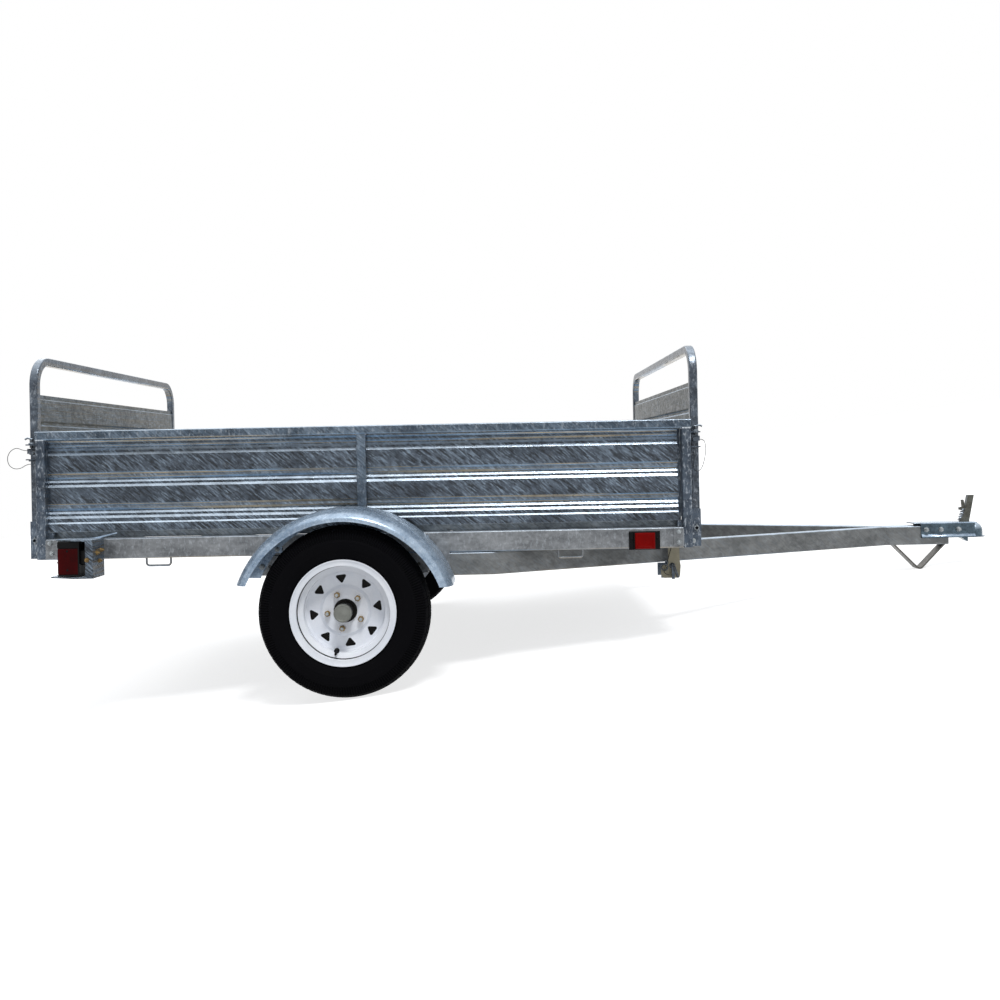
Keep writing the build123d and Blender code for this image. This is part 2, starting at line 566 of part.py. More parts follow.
with BuildPart() as tongue_beam:
    with BuildSketch(Plane.XY.offset(BEAM_BOTTOM)):
        with BuildLine():
            Polyline(beam_edges(BEAM_WIDTH / 2), close=True)
        make_face()
    extrude(amount=BEAM_TOP - BEAM_BOTTOM)
    fillet(tongue_beam.edges().filter_by(lambda edge: edge.length > 2 * BEAM_TOP - 2 * BEAM_BOTTOM), 5)
    with BuildSketch(Plane.XY.offset(BEAM_BOTTOM + TUBE_WALL)):
        with BuildLine():
            Polyline(beam_edges(BEAM_WIDTH / 2 - TUBE_WALL), close=True)
        make_face()
    extrude(amount=BEAM_TOP - BEAM_BOTTOM - 2 * TUBE_WALL, mode=Mode.SUBTRACT)
    # The rear end is round about the tilt bolt, so that the rail above it can swing down past it
    beam_y = (BEAM_Y - BEAM_WIDTH / 2, BEAM_Y + BEAM_WIDTH / 2)
    end_radius = (BEAM_TOP - BEAM_BOTTOM) / 2
    with BuildSketch(Plane((0, beam_y[1], 0), x_dir=(1, 0, 0), z_dir=(0, -1, 0))):
        with Locations((BEAM_REAR + end_radius / 2, PIVOT_Z)):
            Rectangle(end_radius, 2 * end_radius)
        with Locations((PIVOT_X, PIVOT_Z)):
            Circle(end_radius, mode=Mode.SUBTRACT)
            Circle(8 + RUNNING_GAP)
    extrude(amount=BEAM_WIDTH, mode=Mode.SUBTRACT)
both_sides(tongue_beam, "tongue_beam")

with BuildPart() as coupler:
    # Pressed channel over both beams, with a foot that stands out all round and a domed nose
    coupler_half = BEAM_WIDTH + COUPLER_WALL
    rear_x, ball_x = COUPLER
    top_z = (COUPLER_TOP - COUPLER_WALL, COUPLER_TOP)
    slab((rear_x - 28, ball_x), (-coupler_half, coupler_half), top_z)
    fillet(coupler.edges().filter_by(Axis.X).group_by(Axis.Z)[-1], COUPLER_WALL - 1)
    for side in (-1, 1):
        wall_y = (side * BEAM_WIDTH, side * coupler_half)
        slab((rear_x, ball_x - 8), wall_y, (COUPLER_BOTTOM, COUPLER_TOP - COUPLER_WALL))
        flange_y = (side * BEAM_WIDTH, side * (coupler_half + COUPLER_FLANGE))
        slab((rear_x, ball_x - 8), flange_y, (COUPLER_BOTTOM, COUPLER_BOTTOM + COUPLER_WALL))
    with Locations((ball_x, 0, (COUPLER_BOTTOM + BALL_Z) / 2)):
        Cylinder(DOME_RADIUS, BALL_Z - COUPLER_BOTTOM)
    with Locations((ball_x, 0, COUPLER_BOTTOM + COUPLER_WALL / 2)):
        Cylinder(COUPLER_LIP, COUPLER_WALL)
    with Locations((ball_x, 0, BALL_Z - 4)):
        Sphere(DOME_RADIUS)
    with Locations((ball_x, 0, COUPLER_BOTTOM - 20)):
        Box(120, 120, 40, mode=Mode.SUBTRACT)
    # Front of the clamp that closes under the ball
    with BuildSketch(Plane.XZ):
        with BuildLine():
            clamp = [(-60, 0), (-27, 0), (-27, -19), (-31, -19)]
            Polyline([(ball_x + x, COUPLER_BOTTOM + z) for x, z in clamp], close=True)
        make_face()
    extrude(amount=18, both=True)
    with Locations((ball_x, 0, BALL_Z - 4)):
        Sphere(BALL, mode=Mode.SUBTRACT)
    with Locations((ball_x, 0, COUPLER_BOTTOM)):
        Cylinder(BALL, 2 * (BALL_Z - 4 - COUPLER_BOTTOM), mode=Mode.SUBTRACT)
pieces["coupler"] = coupler.part

with BuildPart() as coupler_latch:
    # Raised lever with its catch, on a bolt that pulls the clamp up under the ball
    for half_width, outline in (
        (9, [(-51, 0), (-17, 0), (5, 109), (-20, 109), (-29, 65), (-41, 24), (-51, 15)]),
        (5, [(-28, 50), (-36, 90), (-45, 90), (-42, 61), (-56, 58), (-54, 48)]),
    ):
        with BuildSketch(Plane.XZ):
            with BuildLine():
                Polyline([(ball_x + x, COUPLER_TOP + z) for x, z in outline], close=True)
            make_face()
        extrude(amount=half_width, both=True)
pieces["coupler_latch"] = coupler_latch.part

# ---------------------------------------------------------------- wire lanyards of the latches
# Points (x, y, z) of the left ones, from the face that each leaves to the face where it ends
rear_face, front_face = GATE_X["rear"] - GATE_TUBE / 2, GATE_X["front"] + GATE_TUBE / 2
LANYARDS = {
    "gate_rear": [
        (rear_face + 1, LANYARD_Y, 806), (-1104, LANYARD_Y, 806), (-1127, 779, 817),
        (-1149, 778, 806), (-1161, 776, 784), (-1158, 774, 759), (-1141, 771, 744),
        (-1119, 764, 746), (-1105, 752, 760), (rear_face, 752, 760),
    ],
    "gate_front": [
        (front_face - 1, LANYARD_Y, 800), (1198, LANYARD_Y, 800), (1205, 779, 778),
        (1203, 780, 750), (1197, 781, 723), (1189, 782, 702), (1176, 783, 690),
        (1163, 784, 696), (1160, 784, 713), (1163, 784, 732), (1165, 784, 756),
        (1165, GATE_HALF, 756),
    ],
    "tilt": [
        (1124, 524, RAIL_BOTTOM), (1124, 524, 416), (1116, 524, 393), (1109, 526, 368),
        (1098, 530, 346), (1090, 536, 327), (1103, 541, 314), (1120, 541, 314),
    ],
}
wire_notes = []
for lanyard, points in LANYARDS.items():
    corners = [Vector(*point) for point in points]
    runs = [after - before for before, after in zip(corners, corners[1:])]
    radii = []
    for first, second in zip(runs, runs[1:]):
        half_turn = radians(first.get_angle(second)) / 2
        radii.append(0.45 * min(first.length, second.length) / tan(half_turn))
    with BuildPart() as wire:
        with BuildLine() as wire_line:
            FilletPolyline(*corners, radius=radii)
        with BuildSketch(Plane(origin=wire_line.line @ 0, z_dir=wire_line.line % 0)):
            Circle(WIRE / 2)
        sweep(path=wire_line.line)
    both_sides(wire, f"lanyard_{lanyard}")
    wire_length = wire_line.wire().length
    tube_volume = pi * (WIRE / 2) ** 2 * wire_length
    wire_notes.append(
        f"{lanyard}: {wire_length:.0f} mm long, smallest arc {min(radii):.1f} mm, "
        f"volume over section times length {wire.part.volume / tube_volume:.4f}"
    )

# ---------------------------------------------------------------- foot of the tongue
foot_radius = FOOT_BEND + FOOT_BAR / 2
foot_low = FOOT_BOTTOM + FOOT_BAR / 2
with BuildPart() as foot:
    with BuildLine() as foot_line:
        FilletPolyline(
            Vector(FOOT_X - FOOT_HALF, 0, BEAM_BOTTOM + 3),
            Vector(FOOT_X, 0, foot_low - FOOT_BEND * (sqrt(2) - 1)),
            Vector(FOOT_X + FOOT_HALF, 0, BEAM_BOTTOM + 3),
            radius=FOOT_BEND,
        )
    with BuildSketch(Plane(foot_line.line @ 0, x_dir=(0, 1, 0), z_dir=foot_line.line % 0)):
        Rectangle(FOOT_WIDTH, FOOT_BAR)
    sweep(path=foot_line.line)
    split(bisect_by=Plane.XY.offset(BEAM_BOTTOM), keep=Keep.BOTTOM)
pieces["tongue_foot"] = foot.part

# ---------------------------------------------------------------- parking
# Turned nose down about the axle until the foot's round bend is as low as the tyres
foot_box = foot.part.bounding_box()
bend_x, bend_z = FOOT_X, foot_box.min.Z + foot_radius
reach = hypot(bend_x, bend_z - AXLE_Z)
PARK_ANGLE = asin((TYRE_RADIUS - foot_radius) / reach) + atan2(bend_z - AXLE_Z, bend_x)
NOSE_DOWN = Location((0, 0, AXLE_Z)) * Location((0, 0, 0), (0, degrees(PARK_ANGLE), 0))
NOSE_DOWN = NOSE_DOWN * Location((0, 0, -AXLE_Z))
turned = {name: piece.moved(NOSE_DOWN) for name, piece in pieces.items()}
boxes = [piece.bounding_box() for piece in turned.values()]
MIDDLE_X = (min(box.min.X for box in boxes) + max(box.max.X for box in boxes)) / 2
TO_ORIGIN = Location((-MIDDLE_X, 0, TYRE_RADIUS - AXLE_Z))
PARKED = TO_ORIGIN * NOSE_DOWN

os.makedirs("parts", exist_ok=True)
for name, piece in turned.items():
    parked_piece = piece.moved(TO_ORIGIN)
    parked_piece.label = name
    export_step(parked_piece, f"parts/{name}.step")
print("\n".join(wire_notes))
print(f"{len(pieces)} nodes, parked {degrees(PARK_ANGLE):.3f} degrees nose down, axle at {-MIDDLE_X:.2f}")
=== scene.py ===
"""Looks of a galvanised tilting utility trailer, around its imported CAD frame.  Metres.

Pieces are drawn in the road frame: the trailer stands level behind a car, the ground is Z = 0,
the axle is at X = 0, +X is forward and +Y is left.  ROAD then turns and moves each mesh to where
the trailer stands parked, on its wheels and on the foot under its tongue.
"""

import json
from math import atan2, cos, pi, radians, sin, sqrt

import bmesh
import bpy
from mathutils import Matrix, Vector


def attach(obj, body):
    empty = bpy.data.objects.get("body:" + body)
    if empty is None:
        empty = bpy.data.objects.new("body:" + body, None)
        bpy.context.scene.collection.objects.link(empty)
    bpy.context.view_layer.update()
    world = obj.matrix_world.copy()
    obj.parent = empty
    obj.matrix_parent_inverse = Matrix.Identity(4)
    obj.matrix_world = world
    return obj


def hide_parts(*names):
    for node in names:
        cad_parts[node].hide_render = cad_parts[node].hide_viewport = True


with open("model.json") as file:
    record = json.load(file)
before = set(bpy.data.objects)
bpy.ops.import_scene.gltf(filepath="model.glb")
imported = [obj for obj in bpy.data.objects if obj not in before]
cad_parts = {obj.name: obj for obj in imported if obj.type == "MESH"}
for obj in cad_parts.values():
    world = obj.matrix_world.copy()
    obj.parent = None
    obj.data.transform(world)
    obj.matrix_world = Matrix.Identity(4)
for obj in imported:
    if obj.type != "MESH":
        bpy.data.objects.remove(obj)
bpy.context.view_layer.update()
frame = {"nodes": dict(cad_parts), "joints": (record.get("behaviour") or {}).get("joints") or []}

# ---------------------------------------------------------------- the road frame
JOINT_AT = {joint["name"]: Vector(joint["pos_m"]) for joint in frame["joints"]}
AXLE = JOINT_AT["wheel_left_spin"] * Vector((1, 0, 1))
AXLE_ROAD = Vector((0, 0, 0.269))
TILT_ROAD = Vector((0.312, 0, 0.396))      # the tilt bolts
parked_arm, road_arm = JOINT_AT["bed_tilt"] - AXLE, TILT_ROAD - AXLE_ROAD
NOSE_DOWN = atan2(road_arm.z, road_arm.x) - atan2(parked_arm.z, parked_arm.x)
ROAD = (
    Matrix.Translation(AXLE) @ Matrix.Rotation(NOSE_DOWN, 4, "Y") @ Matrix.Translation(-AXLE_ROAD)
)

# ---------------------------------------------------------------- camera
PICTURE_SIZE = 1000                        # pixels, both ways
FOCAL = 1054                               # focal length in pixels
AXIS_PIXEL = (498.5, 452.9)                # where the camera's axis meets the picture
CAMERA_ROAD = Vector((0.503, -4.345, 0.767))
CAMERA_ROLL = radians(1.13)                # the trailer's length rises to the right by this much
SENSOR = 36                                # millimetres

camera_data = bpy.data.cameras.new("camera")
camera_data.sensor_width = SENSOR
camera_data.lens = SENSOR * FOCAL / PICTURE_SIZE
camera_data.shift_x = 0.5 - AXIS_PIXEL[0] / PICTURE_SIZE
camera_data.shift_y = AXIS_PIXEL[1] / PICTURE_SIZE - 0.5
camera = bpy.data.objects.new("camera", camera_data)
bpy.context.scene.collection.objects.link(camera)
right = Vector((cos(CAMERA_ROLL), 0, -sin(CAMERA_ROLL)))
up = Vector((sin(CAMERA_ROLL), 0, cos(CAMERA_ROLL)))
facing = Matrix((right, up, Vector((0, -1, 0)))).transposed().to_4x4()
camera.matrix_world = ROAD @ Matrix.Translation(CAMERA_ROAD) @ facing
bpy.context.scene.camera = camera
bpy.context.scene.view_settings.view_transform = "Standard"


# ---------------------------------------------------------------- node trees
class Tree:
    """The node tree of one material, or of the world."""

    def __init__(self, owner):
        owner.use_nodes = True
        self.owner = owner
        self.nodes, self.links = owner.node_tree.nodes, owner.node_tree.links

    def set(self, node, inputs):
        """Give each named input a value, or the socket that feeds it."""
        for name, value in inputs.items():
            if isinstance(value, bpy.types.NodeSocket):
                self.links.new(value, node.inputs[name])
            else:
                node.inputs[name].default_value = value

    def node(self, kind, inputs=None, **settings):
        """A new node of that kind, with its settings and its inputs."""
        made = self.nodes.new("ShaderNode" + kind)
        for name, value in settings.items():
            setattr(made, name, value)
        self.set(made, inputs or {})
        return made

    def math(self, operation, first, second=0.0, clamp=False):
        inputs = {0: first, 1: second}
        return self.node("Math", inputs, operation=operation, use_clamp=clamp).outputs[0]

    def spread(self, value, low, high, to_low=0.0, to_high=1.0):
        """The value's run from low to high, as to_low to to_high."""
        inputs = {"Value": value, "From Min": low, "From Max": high}
        inputs.update({"To Min": to_low, "To Max": to_high})
        return self.node("MapRange", inputs).outputs["Result"]

    def mix(self, factor, first, second):
        """The first colour where the factor is 0 and the second where it is 1."""
        return self.node("Mix", {0: factor, 6: first, 7: second}, data_type="RGBA").outputs[2]

    def place(self, scale=(1, 1, 1), turn=(0, 0, 0)):
        """Coordinates of the surface in metres, level with the road frame, turned and scaled."""
        level = self.node("VectorRotate", {
            "Vector": self.node("TexCoord").outputs["Object"], "Axis": (0, 1, 0), "Angle": -NOSE_DOWN,
        })
        turned = self.node("VectorRotate", {"Vector": level.outputs[0], "Rotation": turn},
                           rotation_type="EULER_XYZ")
        return self.node("VectorMath", {0: turned.outputs[0], 1: scale},
                         operation="MULTIPLY").outputs[0]

    def upwards(self):
        """How far the surface faces up: 1 on a level top, -1 on an underside."""
        normal = self.node("TexCoord").outputs["Normal"]
        return self.node("SeparateXYZ", {"Vector": normal}).outputs[2]

    def noise(self, where, scale, detail=3.0, rough=0.55, warp=0.0):
        """Noise of about that many spots a metre; warp stirs it."""
        made = self.node("TexNoise", {
            "Vector": where, "Scale": scale, "Detail": detail, "Roughness": rough, "Distortion": warp,
        })
        return made.outputs["Fac"]


def rgb(red, green, blue):
    """A colour given as it shows on screen, from 0 to 255, as the linear colour of a socket."""
    def linear(value):
        value = value / 255
        return value / 12.92 if value <= 0.04045 else ((value + 0.055) / 1.055) ** 2.4
    return (linear(red), linear(green), linear(blue), 1)


# ---------------------------------------------------------------- finishes
RELIEF_DEPTH = 0.0004                      # metres
ZINC_RELIEF = 0.3                          # strength of the zinc's bump
PALE_BLOOM, LIGHT_RUN, DARK_RUN = rgb(188, 194, 198), rgb(134, 150, 166), rgb(16, 18, 20)
# SPOT is the splatter's pale colour; the second colour is a painted highlight for faces that point up
SPOT, PAINTED_HIGHLIGHT = rgb(214, 222, 230), rgb(206, 222, 238)
# Warm and cool colours of a painted reflection on faces that point down
WARM_PAINTED_REFLECTION, COOL_PAINTED_REFLECTION = rgb(206, 188, 156), rgb(150, 180, 208)
# How far the runs of the zinc bath slope, from the upper rear to the lower front on both sides
FINE_SLOPE, WIDE_SLOPE, DARK_SLOPE = radians(-42), radians(-40), radians(-38)


def surface(tree, colour, grain, metal, rough, relief, **extra):
    """Close a material: its colour, roughness and bump from the values that are handed in."""
    bump = tree.node("Bump", {"Height": grain, "Strength": relief, "Distance": RELIEF_DEPTH})
    tree.set(tree.nodes["Principled BSDF"], {
        "Base Color": colour, "Metallic": metal, "Roughness": rough, "Normal": bump.outputs[0],
        **extra,
    })
    return tree.owner


def add_runs(tree, clouds, colour, streaks):
    """Lay light runs, fine and wide, and dark ones over a colour."""
    fine = tree.noise(tree.place((9, 9, 74), (0, FINE_SLOPE, 0)), 3.0, 5, 0.62, 0.15)
    wide = tree.noise(tree.place((5, 5, 17), (0, WIDE_SLOPE, 0)), 2.6, 3)
    line = tree.math("MAXIMUM", tree.spread(fine, 0.53, 0.57, 0, streaks),
                     tree.spread(wide, 0.52, 0.66, 0, streaks * 0.45))
    line = tree.math("MULTIPLY", line, tree.spread(clouds, 0.38, 0.56, 0.25, 1.0))
    colour = tree.mix(line, colour, LIGHT_RUN)
    dark = tree.noise(tree.place((7, 7, 80), (0, DARK_SLOPE, 0)), 3.4, 4, 0.6, 0.1)
    return tree.mix(tree.spread(dark, 0.52, 0.56, 0, streaks), colour, DARK_RUN)


def zinc(name, dark, light, rough=(0.3, 0.55), cell=0.010, streaks=0.0, bloom=0.2, metal=0.45,
         painted_highlight=0.0, painted_reflection=0.0, splatter=0.0):
    """Hot-dip galvanising: crystals of two greys under cloudy patches, pale bloom and streaks.

    The painted highlight is how pale the faces that point up are painted, and the painted reflection
    how strongly those that point down show warm and cool lines.
    """
    tree = Tree(bpy.data.materials.new(name))
    where = tree.place()
    clouds = tree.noise(where, 6, 5, 0.6)
    patches = tree.noise(tree.place((1.0, 1.0, 2.2)), 17, 4, 0.6, 0.4)
    warp = tree.node("TexNoise", {"Vector": where, "Scale": 70.0, "Detail": 2.0})
    warped = tree.node("VectorMath", {0: warp.outputs["Color"], 1: (cell, cell, cell)},
                       operation="MULTIPLY")
    moved = tree.node("VectorMath", {0: where, 1: warped.outputs[0]}, operation="ADD")
    crystal = tree.node("TexVoronoi", {"Vector": moved.outputs[0], "Scale": 1 / cell})
    split = tree.node("SeparateColor", {"Color": crystal.outputs["Color"]})
    grain = tree.noise(where, 420, 4, 0.65)
    shade = tree.spread(split.outputs[0], 0, 1, 0, 0.32)
    shade = tree.math("ADD", shade, tree.spread(clouds, 0.35, 0.65, -0.12, 0.42))
    shade = tree.math("ADD", shade, tree.spread(patches, 0.38, 0.64, -0.1, 0.36))
    shade = tree.math("ADD", shade, tree.spread(grain, 0.25, 0.75, -0.14, 0.18), clamp=True)
    colour = tree.mix(shade, dark, light)
    pale = tree.spread(tree.noise(where, 24, 6, 0.7, 0.6), 0.58, 0.8, 0, bloom)
    colour = tree.mix(pale, colour, PALE_BLOOM)
    if streaks:
        colour = add_runs(tree, clouds, colour, streaks)
    if splatter:
        spots = tree.noise(tree.place((1, 1, 0.4)), 120, 5, 0.7, 0.5)
        colour = tree.mix(tree.spread(spots, 0.53, 0.66, 0, splatter), colour, SPOT)
    upwards = tree.upwards()
    broken = tree.spread(patches, 0.3, 0.6, 0.55, 1.0)
    # Faces that point up are painted pale in broken patches: a painted highlight
    if painted_highlight:
        painted_highlight_mask = tree.math("MULTIPLY", tree.spread(upwards, 0.15, 0.75, 0, painted_highlight), broken)
        colour = tree.mix(painted_highlight_mask, colour, PAINTED_HIGHLIGHT)
    # Faces that point down get warm and cool lines in broken patches: a painted reflection
    if painted_reflection:
        lines = tree.noise(tree.place((0.5, 0.5, 70)), 3, 3)
        painted_reflection_colour = tree.mix(tree.spread(lines, 0.46, 0.52), WARM_PAINTED_REFLECTION, COOL_PAINTED_REFLECTION)
        facing_down = tree.spread(upwards, -0.05, -0.4, 0, painted_reflection)
        colour = tree.mix(tree.math("MULTIPLY", facing_down, broken), colour, painted_reflection_colour)
    wear = tree.math("ADD", tree.math("MULTIPLY", split.outputs[2], 0.55),
                     tree.math("MULTIPLY", grain, 0.45))
    height = tree.math("ADD", tree.math("MULTIPLY", split.outputs[1], 0.4), grain)
    return surface(tree, colour, height, metal, tree.spread(wear, 0.2, 0.85, *rough), ZINC_RELIEF)


def plain(name, dark, light, rough=(0.35, 0.6), metal=0.0, scale=90, bump=0.2, dust=0.0,
          dust_colour=None, **extra):
    """A moulded, painted or plated surface: cloudy colour, fine grain, and dust that lies on it."""
    tree = Tree(bpy.data.materials.new(name))
    where = tree.place()
    clouds = tree.noise(where, scale / 6, 4, 0.6)
    grain = tree.noise(where, scale * 7, 4, 0.65)
    fine_shade = tree.spread(grain, 0.3, 0.7, -0.1, 0.25)
    shade = tree.math("ADD", tree.spread(clouds, 0.3, 0.7, 0, 0.75), fine_shade, clamp=True)
    colour = tree.mix(shade, dark, light)
    if dust:
        lying = tree.spread(tree.upwards(), -0.2, 0.9, 0.25 * dust, dust)
        patchy = tree.spread(tree.noise(where, scale / 2, 5, 0.7), 0.35, 0.65)
        colour = tree.mix(tree.math("MULTIPLY", lying, patchy), colour, dust_colour)
    return surface(tree, colour, grain, metal, tree.spread(clouds, 0.3, 0.7, *rough), bump, **extra)


# Bed tubes: faces that point up painted pale as a painted highlight, those that point down lined as a
# painted reflection
BED_TUBE = {"rough": (0.3, 0.5), "painted_highlight": 0.4, "painted_reflection": 0.4}
DULL = {"Specular IOR Level": 0.12}
MATERIALS = {
    "galvanised_tube": zinc("galvanised_tube", rgb(66, 76, 88), rgb(118, 130, 142), **BED_TUBE),
    "galvanised_sheet": zinc("galvanised_sheet", rgb(46, 54, 64), rgb(84, 94, 106),
                             rough=(0.22, 0.4), streaks=0.8, painted_highlight=1.0, painted_reflection=0.8),
    "gate_sheet": zinc("gate_sheet", rgb(54, 57, 55), rgb(86, 90, 87), streaks=0.4, painted_highlight=0.75,
                       painted_reflection=0.4),
    "mudguard_sheet": zinc("mudguard_sheet", rgb(112, 132, 154), rgb(176, 194, 212), cell=0.008,
                           rough=(0.18, 0.32), bloom=0.35, splatter=0.25),
    "tongue_steel": zinc("tongue_steel", rgb(90, 92, 92), rgb(128, 130, 130), rough=(0.4, 0.6),
                         cell=0.02, bloom=0.15, painted_highlight=0.9, painted_reflection=0.2, streaks=0.15),
    "zinc_plate": zinc("zinc_plate", rgb(34, 46, 54), rgb(84, 102, 114), cell=0.006, metal=0.6,
                       rough=(0.14, 0.28), painted_highlight=1.0, painted_reflection=0.4, bloom=0.0),
    "running_gear": zinc("running_gear", rgb(30, 30, 28), rgb(66, 66, 62), cell=0.012),
    "hub_steel": plain("hub_steel", rgb(10, 9, 8), rgb(24, 22, 20), metal=0.2, scale=160, **DULL),
    "white_paint": plain("white_paint", rgb(226, 231, 240), rgb(247, 249, 253), rough=(0.12, 0.25),
                         scale=40, bump=0.08, dust=0.1, dust_colour=rgb(170, 170, 168)),
    # Black rubber made darker still: partly its own colour, partly painted shade for the shadow under the
    # mudguard
    "tyre_rubber": plain("tyre_rubber", rgb(4, 4, 6), rgb(9, 9, 12), rough=(0.6, 0.8), scale=70,
                         dust=0.04, dust_colour=rgb(46, 44, 42), **{"Specular IOR Level": 0.04}),
    "lamp": plain("lamp_black", rgb(4, 4, 5), rgb(10, 10, 12), rough=(0.4, 0.6), **DULL),
    "steel_wire": plain("steel_wire", rgb(14, 15, 15), rgb(40, 42, 42), metal=0.2, scale=300, **DULL),
}
# Finishes of nodes whose metal shows its own shade, by how their names start
SHADES = {
    "post_": zinc("post_zinc", rgb(38, 48, 60), rgb(88, 100, 114), splatter=0.5, **BED_TUBE),
    "side_rail_": zinc("rail_zinc", rgb(92, 95, 98), rgb(140, 143, 146), bloom=0.4, splatter=0.2,
                       **BED_TUBE),
    "top_rail_": zinc("top_rail_zinc", rgb(48, 62, 76), rgb(98, 114, 130), splatter=0.3, streaks=0.5,
                      rough=(0.26, 0.45), painted_highlight=0.6, painted_reflection=0.5),
    "floor_": zinc("floor_zinc", rgb(80, 88, 94), rgb(134, 142, 148), streaks=0.4, bloom=0.4),
    "gate_frame_": zinc("gate_tube_zinc", rgb(36, 42, 50), rgb(92, 102, 114), painted_highlight=0.3,
                        painted_reflection=0.5, splatter=0.3, rough=(0.2, 0.35)),
    "tongue_foot": zinc("foot_steel", rgb(70, 68, 64), rgb(104, 102, 96), cell=0.005),
    "coupler_latch": zinc("lever_steel", rgb(58, 56, 48), rgb(96, 98, 92), cell=0.005, painted_highlight=0.4),
}
BRASS = plain("brass_plated", rgb(112, 88, 48), rgb(164, 140, 96), metal=0.5, scale=400)
BOLT_ZINC = plain("bolt_zinc", rgb(112, 118, 122), rgb(190, 196, 198), metal=0.6, scale=400)
CAP_GREY = plain("cap_grey", rgb(96, 98, 92), rgb(134, 136, 130), metal=0.25, scale=200)
WELD = plain("weld_zinc", rgb(130, 138, 146), rgb(214, 220, 226), metal=0.4, scale=300, bump=0.6)
WARM_PLATE = plain("warm_plate", rgb(112, 106, 88), rgb(158, 152, 132), metal=0.3, scale=120)
LENS = {"rough": (0.3, 0.45), "scale": 60, "bump": 0.05, "Specular IOR Level": 0.06}
RED_LENS = plain("red_lens", rgb(34, 0, 1), rgb(74, 2, 3), **LENS)
MARKER_RED = plain("marker_red", rgb(96, 2, 2), rgb(140, 8, 5), **LENS)
LATCH_STEEL = zinc("latch_steel", rgb(34, 36, 38), rgb(110, 116, 122), cell=0.004, metal=0.6, painted_highlight=0.8)
for node_name, node_object in frame["nodes"].items():
    for material_slot in node_object.material_slots:
        slot_name = material_slot.material.name.split(".")[0]
        own_shade = [shade for start, shade in SHADES.items() if node_name.startswith(start)]
        material_slot.material = own_shade[0] if own_shade else MATERIALS[slot_name]


# ---------------------------------------------------------------- drawing meshes
MM = 0.001
SHARP_ANGLE = radians(32)
WELD_STEP = 2.2                            # from ring to ring of a weld bead
WASHER_THICKNESS = 1.5
OUT, DOWN, UP = (0, 1, 0), (0, 0, -1), (0, 0, 1)
REAR, FORWARD = (-1, 0, 0), (1, 0, 0)


def facing_along(at, direction):
    """The matrix that puts a piece drawn up +Z at a point, along a direction."""
    return Matrix.Translation(at) @ Vector(direction).to_track_quat("Z", "X").to_matrix().to_4x4()


